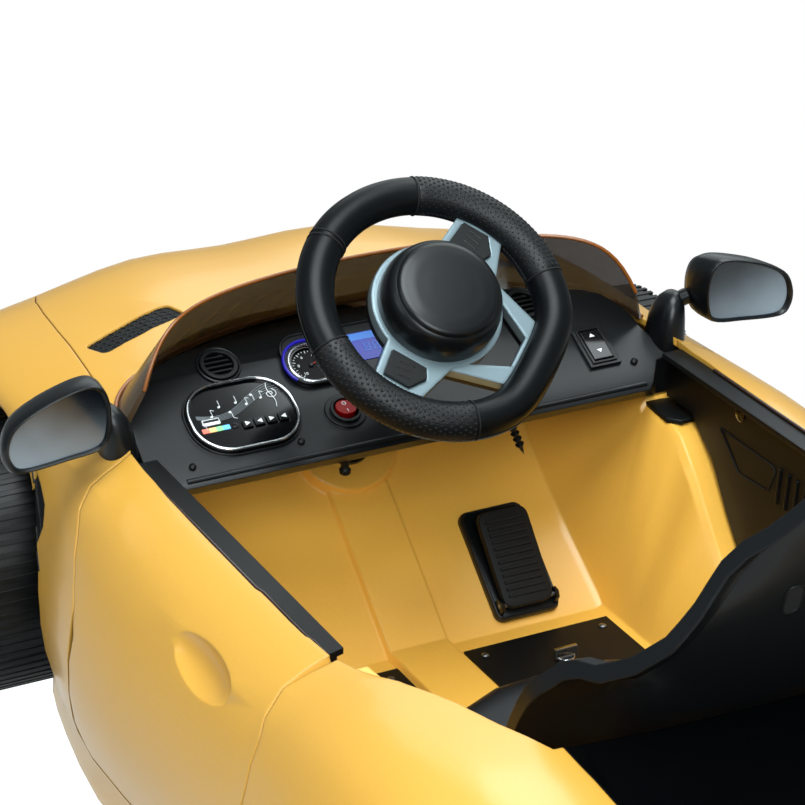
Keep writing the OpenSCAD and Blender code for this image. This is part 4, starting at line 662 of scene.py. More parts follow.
@dataclass
class Piece:
    """One piece: its name, finish, body and frame, and the solids that it stands for."""

    name: str
    look: Look
    body: str = "car"
    place: Matrix = field(default_factory=Matrix)
    solids: Sequence[str] = ()

    def finish(self, mesh: bpy.types.Mesh) -> bpy.types.Object:
        """Makes the piece of a mesh, with its material and body.

        Args:
            mesh: the mesh.

        Returns:
            The piece.
        """
        mesh.materials.clear()
        mesh.materials.append(self.look.material)
        made = add_object(self.name, mesh)
        if self.solids:
            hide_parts(*self.solids)
        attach(made, self.body)
        LOG.info("%s rides on %s in %s", self.name, self.body, self.look.value.name)
        return made

    def settle(self, work: bmesh.types.BMesh, angle: float) -> bpy.types.Object:
        """Makes the piece of a mesh in work, shaded smooth.

        Args:
            work: the mesh, which is freed.
            angle: the angle in degrees above which an edge stays sharp.

        Returns:
            The piece.
        """
        for face in work.faces:
            face.smooth = True
        for edge in work.edges:
            edge.smooth = len(edge.link_faces) == 2 and edge.calc_face_angle(0.0) < math.radians(angle)
        mesh = bpy.data.meshes.new(self.name)
        work.to_mesh(mesh)
        work.free()
        if "custom_normal" in mesh.attributes:
            mesh.attributes.remove(mesh.attributes["custom_normal"])
        return self.finish(mesh)

    def loft(self, rings: Sequence[Sequence[Point]], angle: float = 35.0, closed: bool = False,
             weld: float = WELD) -> bpy.types.Object:
        """Makes a closed piece through rings of points in its frame.

        Args:
            rings: its sections, with as many points in each.
            angle: the angle in degrees above which an edge stays sharp.
            closed: whether the last ring joins the first, so that no ends are capped.
            weld: how near points have to be to join.

        Returns:
            The piece.
        """
        work = bmesh.new()
        made = [[work.verts.new(p) for p in ring] for ring in rings]
        if not closed:
            work.faces.new(made[0])
            work.faces.new(made[-1])
        for one, two in zip(made, [*made[1:], made[0]] if closed else made[1:]):
            for k in range(len(one)):
                work.faces.new((one[k - 1], one[k], two[k], two[k - 1]))
        bmesh.ops.remove_doubles(work, verts=work.verts, dist=weld)
        if weld > WELD:
            bmesh.ops.dissolve_degenerate(work, edges=work.edges, dist=WELD)
        bmesh.ops.recalc_face_normals(work, faces=work.faces)
        work.transform(self.place)
        return self.settle(work, angle)

    def lathe(self, profile: Sequence[Pair], count: int = 24) -> bpy.types.Object:
        """Turns a profile of radius and height, which starts and ends on the axis, about +Z."""
        return self.loft([circle(r, count, h) for r, h in profile], weld=10 * WELD)

    def slab(self, outline: Sequence[Pair], low: float, high: float, ease: float = 0.0) -> bpy.types.Object:
        """Makes a flat piece, with its upper edge eased.

        Args:
            outline: its outline.
            low: where its underside is along +Z.
            high: where its top is.
            ease: the radius of its upper edge.

        Returns:
            The piece.
        """
        middle = sum((Vector(p) for p in outline), Vector((0, 0))) / len(outline)
        levels = [(low, 0.0), (high - ease, 0.0)]
        if ease:
            turns = (0.4, 0.8, 1.2, math.pi / 2)
            levels += [(high - ease + ease * math.sin(a), ease * (1 - math.cos(a))) for a in turns]
        rings = []
        for z, inward in levels:
            outs = [Vector(p) - middle for p in outline]
            rings.append([(*(middle + out * max(0.05, 1 - inward / max(out.length, 1e-6))), z) for out in outs])
        return self.loft(rings)

    def stamps(self, stamp: Stamp, spots: Sequence[Spot], size: Point) -> bpy.types.Object:
        """Sets one small shape on each spot.

        Args:
            stamp: the shape.
            spots: where it goes in the piece's frame.
            size: its width, length and height.

        Returns:
            The piece.
        """
        places = [self.place @ spot.place for spot in spots]
        mesh = bpy.data.meshes.new(self.name + "_points")
        mesh.from_pydata([place.translation for place in places], [], [])
        for name, vectors in (("turn", [p.to_euler("XYZ") for p in places]), ("size", [s.size for s in spots])):
            values = mesh.attributes.new(name, "FLOAT_VECTOR", "POINT").data
            for value, vector in zip(values, vectors):
                value.vector = vector
        return self.finish(stamp_tree(stamp).run(mesh, self.look, dict(zip(("Width", "Length", "Height"), size))))

    def beads(self, lines: Sequence[Sequence[Sequence[float]]], radius: float,
              closed: bool = False) -> bpy.types.Object:
        """Draws round beads along lines in the piece's frame.

        Args:
            lines: the points of each line.
            radius: the beads' radius.
            closed: whether each line closes on itself.

        Returns:
            The piece.
        """
        points, edges = [], []
        for line in lines:
            first = len(points)
            points += [self.place @ Vector((*p, 0.0)[:3]) for p in line]
            edges += [(i, i + 1) for i in range(first, len(points) - 1)]
            if closed:
                edges.append((len(points) - 1, first))
        mesh = bpy.data.meshes.new(self.name + "_lines")
        mesh.from_pydata(points, edges, [])
        return self.finish(bead_tree().run(mesh, self.look, {"Radius": radius}))

    def words(self, text: str, size: float) -> bpy.types.Object:
        """Prints a plain number or mark on a face whose +Y is down it.

        Args:
            text: the number or mark.
            size: its height.

        Returns:
            The piece.
        """
        curve = bpy.data.curves.new(self.name, "FONT")
        curve.body, curve.size, curve.extrude, curve.resolution_u = text, size, 0.0001, 3
        curve.align_x = curve.align_y = "CENTER"
        mesh = baked(add_object(self.name, curve))
        mesh.transform(self.place @ turned(180, "Z"))
        return self.finish(mesh)


def reskin(look: Look, *nodes: str, body: str = "car", angle: float = 32.0, end: int = 0) -> bpy.types.Object:
    """Stands joined, smoothly shaded copies in for solids.

    Args:
        look: their finish.
        *nodes: the solids.
        body: the body that they ride on.
        angle: the angle above which an edge stays sharp.
        end: -1 keeps only what lies at the front, 1 only what lies at the rear, and 0 all.

    Returns:
        The last copy.
    """
    for node in nodes:
        work = bmesh.new()
        work.from_mesh(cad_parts[node].data)
        bmesh.ops.remove_doubles(work, verts=work.verts, dist=SKIN_WELD)
        bmesh.ops.dissolve_degenerate(work, edges=work.edges, dist=SKIN_WELD / 2)
        bmesh.ops.delete(work, geom=[v for v in work.verts if v.co.y * end < 0], context="VERTS")
        made = Piece(node + ("_skin", "_rear", "_front")[end], look, body, solids=(node,)).settle(work, angle)
    return made


def surface_of(*nodes: str) -> BVHTree:
    """Returns a tree that finds places on these solids.

    Args:
        *nodes: the solids.

    Returns:
        The tree.
    """
    points, faces = [], []
    for node in nodes:
        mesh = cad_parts[node].data
        first = len(points)
        points += [v.co.copy() for v in mesh.vertices]
        faces += [[first + i for i in p.vertices] for p in mesh.polygons]
    return BVHTree.FromPolygons(points, faces)


def struck(skin: BVHTree, start: Point, way: Sequence[float]) -> tuple[Vector | None, Vector | None]:
    """Returns the first place on a surface from a start along a way, and the normal there."""
    return skin.ray_cast(Vector(start), Vector(way))[:2]


def top_at(skin: BVHTree, x: float, y: float, start: float = 2.0) -> float | None:
    """Returns the height of the first surface under a place, if there is one."""
    hit = struck(skin, (x, y, start), -UPWARD)[0]
    return hit.z if hit else None


@dataclass
class Bodywork:
    """The yellow body panels with their outlets, lamps, screen and mirrors."""

    outlet_centre: Pair = (0.143, -0.296)
    outlet_half: Pair = (0.0345, 0.0125)
    outlet_turn: float = 14.0
    cell: float = 0.0062
    row_share: float = 0.87
    cell_size: Point = (0.00682, 0.00682, 0.00558)
    slashes: Sequence[tuple[Pair, Pair]] = (((-0.217, 0.196), (-0.185, 0.166)), ((-0.221, 0.184), (-0.176, 0.146)))
    slash_size: Point = (0.0056, 0.0012, 0.0016)
    lamp_places: Sequence[Point] = ((-1, 0.186, 0.179), (1, 0.18, 0.175))
    stud_pitch: float = 0.008
    stud_size: Point = (0.006, 0.006, 0.004)
    stud_inset: float = 0.002
    screen_top: float = 0.3177
    screen_fall: float = 0.046
    top_arc: Point = (0.1757, -0.2097, 0.068)
    foot_arc: Point = (0.2047, -0.2747, 0.108)
    foot_bead_arc: Point = (0.2055, -0.2752, 0.108)
    foot_heights: Pair = (0.2537, 0.00826)
    edge_bead_r: float = 0.0014
    foot_bead_r: float = 0.0015
    bead_inset: Pair = (0.993, 0.0015)
    head_outline: Sequence[Pair] = (
        (0.237, 0.2535), (0.262, 0.2495), (0.296, 0.247), (0.3055, 0.2545), (0.3065, 0.268), (0.299, 0.2815),
        (0.277, 0.293), (0.25, 0.3005), (0.2365, 0.298), (0.2305, 0.285), (0.2305, 0.267))
    head_middle: Pair = (0.262, 0.273)
    head_rings: Sequence[Point] = (
        (-0.1235, 0.86, 0), (-0.1235, 0.88, 0), (-0.1205, 0.9, 0), (-0.1192, 0.93, 0), (-0.1196, 0.965, 0),
        (-0.122, 0.995, 0), (-0.127, 1.0, 0.0005), (-0.135, 0.985, 0.002), (-0.143, 0.92, 0.004),
        (-0.1495, 0.78, 0.007), (-0.1535, 0.55, 0.01), (-0.155, 0.28, 0.012), (-0.1552, 0.02, 0.012))
    pane_rings: Sequence[Point] = ((-0.1226, 0.885, 0), (-0.1245, 0.885, 0))
    fin_middle: Pair = (0.2155, -0.1515)
    fin_half: Pair = (0.0125, 0.0175)
    fin_power: float = 0.8
    fin_levels: Sequence[Point] = (
        (0.2215, 0.0, 1.0), (0.23, 0.0, 1.0), (0.2395, 0.0005, 0.97), (0.25, 0.0015, 0.9), (0.2585, 0.003, 0.78),
        (0.2645, 0.0045, 0.6), (0.2685, 0.006, 0.36), (0.2695, 0.007, 0.05))
    neck: Sequence[Point] = ((0.2185, -0.1515, 0.259), (0.229, -0.1475, 0.265), (0.24, -0.142, 0.27))
    neck_r: float = 0.0062

    def panels(self) -> None:
        """Dresses the big mouldings."""
        reskin(Look.BODY, "body_shell", "bonnet")
        reskin(Look.GLOSS, "rear_deck")
        reskin(Look.CARD, "front_grille", "body_vents")
        for _, label in SIDES:
            reskin(Look.BODY, f"{label}_door", body=f"door_{label}")
            reskin(Look.CARD, f"{label}_door_card", body=f"door_{label}")
        reskin(Look.STEEL, "door_hinges")
        reskin(Look.LENS, "lamps", end=-1)
        reskin(Look.TAIL, "lamps", end=1)

    def screen(self) -> None:
        """Dresses the tinted screen and its amber moulded edge."""
        reskin(Look.SCREEN, "windscreen", angle=50)
        angles = [math.radians(a) for a in spaced(-90, 90, 49)]
        Piece("screen_edge", Look.SCREEN_EDGE).beads([[self.screen_point(a) for a in angles]], self.edge_bead_r)
        feet = [(*self.on_arc(a, self.foot_bead_arc), above(self.foot_height(a) + 0.001)) for a in angles]
        Piece("screen_foot_bead", Look.SCREEN_EDGE).beads([feet], self.foot_bead_r)

    @staticmethod
    def on_arc(a: float, arc: Point) -> Vector:
        """Returns a place, seen from above, on an arc of that half width, front and depth."""
        return Vector((arc[0] * math.sin(a), arc[1] + arc[2] * (1 - math.cos(a))))

    def foot_height(self, a: float) -> float:
        """Returns the height of the screen's foot."""
        return self.foot_heights[0] - self.foot_heights[1] * (1 - math.cos(a))

    def screen_point(self, a: float) -> Point:
        """Returns the point on the screen's top edge at an angle from the car's axis.

        Args:
            a: the angle in radians.

        Returns:
            The point.
        """
        height = self.screen_top - self.screen_fall * (abs(math.degrees(a)) / 90) ** 6
        foot = self.foot_height(a)
        share = (height - foot) / (self.screen_top - foot)
        at = self.on_arc(a, self.foot_arc).lerp(self.on_arc(a, self.top_arc), share)
        return (at.x * self.bead_inset[0], at.y + self.bead_inset[1], above(height))

    def outlets(self) -> None:
        """Fills the bonnet outlets with a honeycomb and sets the wing outlets' slashes."""
        skin = surface_of("body_vents")
        outlet = shift(*self.outlet_centre) @ turned(self.outlet_turn, "Z")
        cells = []
        for (side, _), row, column in product(SIDES, range(-4, 5), range(-7, 8)):
            u, v = column * self.cell * self.row_share, (row + (column % 2) / 2) * self.cell
            if abs(u) <= self.outlet_half[0] and abs(v) <= self.outlet_half[1]:
                at = outlet @ Vector((u, v, 0))
                hit, normal = struck(skin, (side * at.x, at.y, 1.0), -UPWARD)
                if hit:
                    cells.append(Spot(facing(hit, normal if normal.z > 0 else -normal, LEFTWARD)))
        Piece("outlet_honeycomb", Look.SATIN).stamps(Stamp.CELL, cells, self.cell_size)
        wing = surface_of("body_shell", "body_vents")
        marks = []
        for (side, _), ((y0, z0), (y1, z1)) in product(SIDES, self.slashes):
            for y, z in zip(spaced(y0, y1, 14), spaced(z0, z1, 14)):
                hit, normal = struck(wing, (side * 0.5, y, above(z)), (-side, 0, 0))
                if hit and side * normal.x > 0.5:
                    marks.append(Spot(facing(hit, normal, Vector((0, y1 - y0, z1 - z0)))))
        Piece("wing_slashes", Look.SATIN).stamps(Stamp.BLOCK, marks, self.slash_size)

    def lamp_fittings(self) -> None:
        """Sets rows of reflector studs behind the lamp lenses."""
        skin = surface_of("lamps")
        studs = []
        for (side, _), (end, x, z), column in product(SIDES, self.lamp_places, range(-3, 4)):
            hit = struck(skin, (side * (x + column * self.stud_pitch), end * 0.8, above(z)), (0, -end, 0))[0]
            if hit:
                studs.append(Spot(facing(hit - REARWARD * end * self.stud_inset, REARWARD * end, LEFTWARD)))
        Piece("lamp_studs", Look.CHROME).stamps(Stamp.DOME, studs, self.stud_size)

    def head_ring(self, side: int, y: float, share: float, inward: float) -> list[Point]:
        """Returns a section of a mirror's head.

        Args:
            side: 1 on the car's left and -1 on its right.
            y: where the section is.
            share: its share of the widest section.
            inward: how far it is moved towards the car.

        Returns:
            Its points.
        """
        middle = Vector(self.head_middle)
        places = [middle + (p - middle) * share for p in smoothed(self.head_outline, 5)]
        return [(side * (p.x - inward), y, above(p.y)) for p in places]

    def mirror(self, side: int, label: str) -> None:
        """Builds one mirror: the tapered housing, its glass, and the fin and neck that carry it.

        Args:
            side: 1 on the car's left and -1 on its right.
            label: the side's name.
        """
        head = Piece(f"{label}_mirror_head", Look.SATIN, solids=(f"{label}_mirror",))
        head.loft([self.head_ring(side, *ring) for ring in self.head_rings], 40)
        pane = Piece(f"{label}_mirror_pane", Look.GLASS, solids=("mirror_glasses",) if side > 0 else ())
        pane.loft([self.head_ring(side, *ring) for ring in self.pane_rings])
        rings = []
        for height, lean, share in self.fin_levels:
            bent = [[math.copysign(abs(c) ** self.fin_power, c) * share for c in p[:2]] for p in circle(1, 28)]
            rings.append([(side * (self.fin_middle[0] + lean + self.fin_half[0] * x),
                           self.fin_middle[1] + self.fin_half[1] * y, above(height)) for x, y in bent])
        Piece(f"{label}_mirror_fin", Look.SATIN).loft(rings, 50)
        neck = [(side * x, y, above(z)) for x, y, z in self.neck]
        Piece(f"{label}_mirror_neck", Look.SATIN).beads([neck], self.neck_r)

    def build(self) -> None:
        """Builds the bodywork."""
        self.panels()
        self.screen()
        self.outlets()
        self.lamp_fittings()
        for side, label in SIDES:
            self.mirror(side, label)


@dataclass
class SteeringWheel:
    """The leather rim, its perforated grips, seams, spokes and hub."""

    grip: Pair = (49.0, 126.0)
    back_seam: float = 178.8
    rows: int = 11
    pitch: float = 0.0031
    hole: Point = (0.0014, 0.0014, 0.0003)
    stitch: Point = (0.0034, 0.0009, 0.0009)
    seam_r: float = 0.0006
    line_r: float = 0.0005
    seam_lift: float = 0.0004
    key_lines: Sequence[float] = (0.0545, 0.0595, 0.0645)
    key_z: float = 0.0048
    grooves: Sequence[Point] = ((0.0205, 0.0655, 0.0024), (0.0195, 0.0725, 0.0024))
    groove_r: float = 0.0004
    proud: float = 0.0002
    around: int = 40
    flat_share: float = 0.935
    corner: int = 22

    def rim_centre(self, angle: float) -> Vector:
        """Returns the middle of the rim at an angle from +X in the wheel's frame.

        Args:
            angle: the angle in radians.

        Returns:
            The middle of the rim's section there.
        """
        flat = max(0.0, math.sin(angle)) / (RIM_MAJOR * self.flat_share)
        reach = ((1 / RIM_MAJOR) ** self.corner + flat ** self.corner) ** (-1 / self.corner)
        return Vector((reach * math.cos(angle), reach * math.sin(angle), 0))

    def rim_point(self, along: float, across: float, lift: float) -> tuple[Vector, Vector]:
        """Finds a place on the rim.

        Args:
            along: its angle in degrees round the wheel.
            across: its angle in degrees round the rim's section.
            lift: how far it is above the solid's surface.

        Returns:
            The place and the direction out of the rim.
        """
        angle, turn = math.radians(along), math.radians(across)
        ahead = self.rim_centre(angle + 0.01) - self.rim_centre(angle - 0.01)
        out = Vector((ahead.y, -ahead.x, 0)).normalized()
        normal = out * math.cos(turn) + UPWARD * math.sin(turn)
        return self.rim_centre(angle) + normal * (RIM_TUBE + lift), normal

    def grip_angles(self, side: int, count: int) -> list[float]:
        """Returns so many angles, evenly spaced, along the grip of a side."""
        return [90 - side * off for off in spaced(self.grip[0] + 2, self.grip[1] - 2, count)]

    def sleeve(self, name: str, start: float, end: float, lift: float, look: Look) -> None:
        """Wraps a stretch of the rim in leather, with its ends eased.

        Args:
            name: the piece's name.
            start: where the stretch starts, in degrees.
            end: where it ends; a whole turn closes it.
            lift: how far it is above the solid's surface.
            look: its finish.
        """
        closed = end - start == 360
        count = round((end - start) / 1.8)
        rings = []
        for step in range(count + (not closed)):
            ease = 0.0 if closed else 0.0007 * max(0.0, 1 - min(step, count - step) / 1.2)
            angle = start + (end - start) * step / count
            turns = spaced(0, 360, self.around + 1)[:-1]
            rings.append([self.rim_point(angle, turn, lift - ease)[0] for turn in turns])
        Piece(name, look, "steering", wheel_frame()).loft(rings, 60, closed)

    def perforations(self) -> None:
        """Sets rows of small dark discs on the grips as painted shade in their holes, larger in the middle rows."""
        spots = []
        low, high = self.grip
        steps = int(math.radians(high - low - 4) * RIM_MAJOR / self.pitch)
        for side, _ in SIDES:
            for step, angle in enumerate(self.grip_angles(side, steps + 1)):
                for row in range(self.rows):
                    turn = -30 + 190 * (row + (step % 2) / 2) / self.rows
                    at, normal = self.rim_point(angle, turn, self.proud * 3.2)
                    wide = 1.35 if 3 <= row <= 6 else 0.85
                    along = UPWARD if abs(normal.z) < 0.9 else LEFTWARD
                    spots.append(Spot(facing(at, normal, along), (wide, wide, 1)))
        # the dark discs are painted shade where the leather is perforated
        Piece("rim_perforations", Look.HOLE, "steering", wheel_frame()).stamps(Stamp.DISC, spots, self.hole)

    def seams(self) -> None:
        """Draws the seams round the rim, the lines along it, one of them a silver painted highlight along its outer
        side, and the stitches inside it.
        """
        round_rim = [[self.rim_point(90 - side * off, 10 * k, self.seam_lift)[0] for k in range(36)]
                     for side, _ in SIDES for off in (*self.grip, self.back_seam)]
        along_rim = [self.rim_point(2.25 * k, 0.0, self.proud)[0] for k in range(160)]
        # painted highlight: a silver line along part of the rim's outer side where light catches it
        painted_highlight = [self.rim_point(15 + 1.5 * k, -14, self.seam_lift)[0] for k in range(96)]
        for name, look, lines, radius, closed in (
                ("rim_seams", Look.HOLE, round_rim, self.seam_r, True),
                ("rim_mould_line", Look.RIM, [along_rim], self.line_r, True),
                ("rim_painted_highlight", Look.SILVER, [painted_highlight], self.line_r, False)):
            Piece(name, look, "steering", wheel_frame()).beads(lines, radius, closed)
        spots = []
        for side, _ in SIDES:
            for angle in self.grip_angles(side, 30):
                at, normal = self.rim_point(angle, 178, 0.0008)
                ahead = self.rim_point(angle - side, 178, 0.0008)[0]
                spots.append(Spot(facing(at, normal, ahead - at + UPWARD * 0.0006)))
        Piece("rim_stitches", Look.THREAD, "steering", wheel_frame()).stamps(Stamp.DOME, spots, self.stitch)

    def hub(self) -> None:
        """Dresses the hub, spokes and keys, with raised lines on the keys."""
        reskin(Look.RIM, "steering_rim", body="steering", angle=50)
        reskin(Look.SATIN, "hub_cover", body="steering", angle=40)
        reskin(Look.SILVER, "spoke_frame", body="steering")
        reskin(Look.STEEL, "steering_shaft", body="steering")
        for side, label in SIDES:
            node, body = f"spoke_button_{label}", f"key_{label}"
            reskin(Look.CARD, node, body=body)
            lines = [[(side * (x - 0.001), 0.006, self.key_z), (side * (x + 0.001), -0.005, self.key_z)]
                     for x in self.key_lines]
            Piece(f"{node}_lines", Look.GLOSS, body, wheel_frame()).beads(lines, self.line_r)
        grooves = [[(side * x, y, z) for x, y, z in self.grooves] for side, _ in SIDES]
        Piece("spoke_plate_grooves", Look.CARD, "steering", wheel_frame()).beads(grooves, self.groove_r)

    def build(self) -> None:
        """Builds the wheel's dress."""
        self.sleeve("rim_sleeve", 0, 360, self.proud, Look.RIM)
        for side, label in SIDES:
            start, end = sorted(90 - side * off for off in self.grip)
            self.sleeve(f"rim_grip_{label}", start, end, self.proud * 3, Look.RIM_PATCH)
        self.perforations()
        self.seams()
        self.hub()


@dataclass
class Dashboard:
    """The dashboard's housing, instruments, music panel, vents and switches."""

    hood_place: Point = (0.0, 0.009, 0.0028)
    hood: Point = (0.149, 0.045, 0.0148)
    hood_r: float = 0.0015
    vent_place: Pair = (0.121, -0.002)
    vent_r: float = 0.0152
    vent_bead_r: float = 0.0011
    screw: Point = (0.0052, 0.0052, 0.0016)
    screw_places: Sequence[Pair] = ((-0.18, 0.068), (0.172, 0.078), (-0.092, 0.07), (0.09, 0.076))
    gauge_x: float = 0.056
    gauge_s: float = 0.0135
    gauge_r: float = 0.017
    dial_r: float = 0.01428
    gauge_ring: Pair = (0.0026, 0.00125)
    glow_r: float = 0.0206
    glow_bead: Pair = (0.0034, 0.0012)
    tick: Point = (0.0011, 0.0004, 0.0003)
    number_size: float = 0.0034
    needle: Pair = (0.0011, 0.00035)
    dial_start: float = 135.0
    dial_sweep: float = 270.0
    display_place: Point = (0.0, 0.008, 0.0034)
    screen: Point = (0.046, 0.025, 0.001)
    band: Point = (0.045, 0.0062, 0.0005)
    digits: Sequence[float] = (-0.004, 0.004, 0.011)
    stroke: Point = (0.001, 0.001, 0.0002)
    panel: Point = (0.122, 0.045, 0.0026)
    panel_ring: Point = (0.0775, 0.0575, 0.0255)
    note: Point = (0.0023, 0.0017, 0.0004)
    socket: Point = (0.0126, 0.0052, 0.0006)
    socket_slot: Point = (0.0114, 0.0019, 0.0003)
    bar: Point = (0.0052, 0.0038, 0.0004)
    bar_pitch: float = 0.0051
    print_z: float = 0.0003
    notes: Sequence[Pair] = ((0.030, 0.002), (0.022, -0.003), (0.014, -0.010), (0.008, -0.004), (0.001, -0.011),
                             (-0.006, -0.008), (-0.012, -0.015), (-0.018, -0.011))
    key_pitch: float = 0.009

    def housing(self) -> None:
        """Dresses the housing, its hood and its screws."""
        reskin(Look.SATIN, "dashboard", angle=30)
        reskin(Look.CARD, "dash_vents")
        reskin(Look.GLOSS, "instrument_pod", "music_panel")
        reskin(Look.SATIN, "switch_bezels")
        rocker = reskin(Look.RED, "power_rocker", body="power_switch")
        pivot = face_frame(*ROCKER_PLACE, -0.003)
        rocker.data.transform(pivot @ Matrix.Diagonal((1.0, 0.965, 0.99, 1.0)) @ pivot.inverted())
        reskin(Look.GLOSS, "direction_rocker", body="direction_switch")
        hood = Piece("instrument_hood", Look.SATIN, place=face_frame(*self.hood_place))
        hood.beads([rounded(*self.hood, 10)], self.hood_r, True)
        for side, label in SIDES:
            place = face_frame(side * self.vent_place[0], self.vent_place[1], 0.001)
            ring = [circle(self.vent_r, 48)]
            Piece(f"vent_ring_{label}", Look.SATIN, place=place).beads(ring, self.vent_bead_r, True)
        screws = [Spot(face_frame(x, s, 0.0008)) for x, s in self.screw_places]
        Piece("dash_screws", Look.CARD).stamps(Stamp.DISC, screws, self.screw)

    def gauges(self) -> None:
        """Builds the dials, their ticks, numbers, needles, rings and blue light."""
        dial = self.dial_r
        turns = spaced(self.dial_start, self.dial_start + self.dial_sweep, 25)
        ticks = [Spot(turned(turn, "Z") @ shift(dial * (0.9 if step % 3 else 0.86), 0, 0.0004),
                      (1.0 if step % 3 else 1.9, 1.0, 1.0)) for step, turn in enumerate(turns)]
        for side, label in SIDES:
            place = face_frame(side * self.gauge_x, self.gauge_s)
            Piece(f"dial_{label}", Look.DIAL, place=place).lathe(
                [(0, -0.0012), (dial, -0.0012), (dial, 0.0002), (0, 0.0002)], 48)
            z, radius = self.gauge_ring
            ring = [circle(self.gauge_r, 56, z)]
            Piece(f"gauge_ring_{label}", Look.CHROME, place=place).beads(ring, radius, True)
            Piece(f"gauge_ticks_{label}", Look.WHITE, place=place).stamps(Stamp.BLOCK, ticks, self.tick)
            for number, turn in enumerate(spaced(self.dial_start, self.dial_start + self.dial_sweep, 6)):
                at = place @ turned(turn, "Z") @ shift(dial * 0.64, 0, self.print_z) @ turned(-turn, "Z")
                Piece(f"gauge_number_{label}_{number}", Look.WHITE, place=at).words(str(number * 2), self.number_size)
            a = math.radians(180 + side * 20)
            z, radius = self.needle
            tip = (dial * 0.8 * math.cos(a), dial * 0.8 * math.sin(a), z)
            Piece(f"gauge_needle_{label}", Look.NEEDLE, place=place).beads([[(0, 0, z), tip]], radius)
            Piece(f"needle_cap_{label}", Look.SATIN, place=place).lathe(
                [(0, 0.0002), (0.0018, 0.0002), (0.0018, 0.0014), (0.0012, 0.002), (0, 0.002)])
            z, radius = self.glow_bead
            arc = [(side * self.glow_r * math.cos(t), self.glow_r * math.sin(t), z)
                   for t in map(math.radians, spaced(-112, 38, 31))]
            Piece(f"gauge_glow_{label}", Look.GLOW, place=place).beads([arc], radius)

    def display(self) -> None:
        """Builds the blue display between the dials."""
        place = face_frame(*self.display_place)
        Piece("display_panel", Look.DISPLAY, place=place).slab(rounded(*self.screen, 2), -0.0006, 0.0003)
        band = Piece("display_band", Look.DIGIT, place=place @ shift(0, -0.0088))
        band.slab(rounded(*self.band, 2), 0.0, 0.00045)
        level = [(0.0, y, (3.4, 0.56, 1.0)) for y in (-0.00336, 0.0, 0.00336)]
        upright = [(x, y, (0.7, 2.72, 1.0)) for x in (-0.0019, 0.0019) for y in (-0.00168, 0.00168)]
        bars = []
        for middle, strokes in ((-0.011, upright), *((x, level + upright) for x in self.digits)):
            bars += [Spot(shift(middle + x, y + 0.0015, 0.0004), size) for x, y, size in strokes]
        Piece("display_digits", Look.DIGIT, place=place).stamps(Stamp.BLOCK, bars, self.stroke)

    def score(self, place: Matrix) -> None:
        """Prints the staff, the notes and the clef on the music panel.

        Args:
            place: the panel's frame.
        """
        z = self.print_z
        wave = [(f, -0.0045 + 0.006 * math.sin(f * 5.2) - 0.009 * f) for f in spaced(0, 1, 25)]
        staff = [[(0.033 - 0.066 * f, v + line * 0.0019 * (0.35 + 0.75 * f), z) for f, v in wave]
                 for line in range(-2, 3)]
        Piece("staff_lines", Look.PRINT, place=place).beads(staff, 0.00014)
        heads = [Spot(shift(u, v, z) @ Matrix.Rotation(0.5, 4, "Z")) for u, v in self.notes]
        Piece("note_heads", Look.WHITE, place=place).stamps(Stamp.DOME, heads, self.note)
        stems = []
        for index, (u, v) in enumerate(self.notes):
            foot, end = u - 0.0009, v + (-0.0058 if index % 3 else 0.0052)
            stems.append([(foot, v, z), (foot, end, z)])
            if index % 2:
                stems.append([(foot, end, z), (u - 0.0034, end + 0.0012, z)])
        Piece("note_stems", Look.WHITE, place=place).beads(stems, 0.0002)
        spiral = [(-0.0262 + 0.000144 * k * math.cos(k * 0.32), -0.0128 + 0.000128 * k * math.sin(k * 0.32), z)
                  for k in range(34)]
        tail = [(-0.0262 + 0.0012 * math.sin(t * 6.3), -0.0225 + 0.0215 * t, z) for t in spaced(0, 1, 17)]
        Piece("clef", Look.WHITE, place=place).beads([spiral, tail], 0.0003)

    def music(self) -> None:
        """Builds the music panel's ring, print, sockets, colour bars and key marks."""
        x, s, z = self.panel
        place = face_frame(x, s, z)
        Piece("panel_ring", Look.CHROME, place=place @ shift(0, 0, 0.0016)).beads(
            [rounded(*self.panel_ring, 12)], 0.0012, True)
        self.score(place)
        Piece("usb_frame", Look.WHITE, place=place @ shift(0.024, 0.001)).slab(
            rounded(*self.socket, 2), -0.0018, 0.0003)
        # the dark slab is painted shade in the socket's opening
        Piece("usb_slot", Look.HOLE, place=place @ shift(0.024, 0.0002)).slab(
            rounded(*self.socket_slot, 2), 0.0001, 0.0005)
        for index, look in enumerate((Look.BAR_RED, Look.BAR_ORANGE, Look.BAR_GREEN, Look.BAR_BLUE)):
            at = place @ shift(0.0305 - index * self.bar_pitch, 0.0078)
            Piece(f"colour_bar_{index + 1}", look, place=at).slab(rounded(*self.bar, 2), -0.0002, 0.0004)
        Piece("audio_socket", Look.SATIN, place=place @ shift(0.009, 0.008)).lathe(
            [(0, -0.001), (0.0021, -0.001), (0.0021, 0.0006), (0.0015, 0.0006), (0.0013, -0.0004), (0, -0.0004)])
        for index in range(4):
            body = f"key_{index + 1}"
            reskin(Look.GLOSS, f"music_button_{index + 1}", body=body)
            way = 1 if index % 2 else -1
            arrow = [(-way * 0.0017, -0.0018), (way * 0.0019, 0.0), (-way * 0.0017, 0.0018)]
            top = place @ shift(-index * self.key_pitch, 0.009, 0.0017)
            Piece(f"key_mark_{index + 1}", Look.WHITE, body, top).slab(arrow, -0.0002, 0.0002)

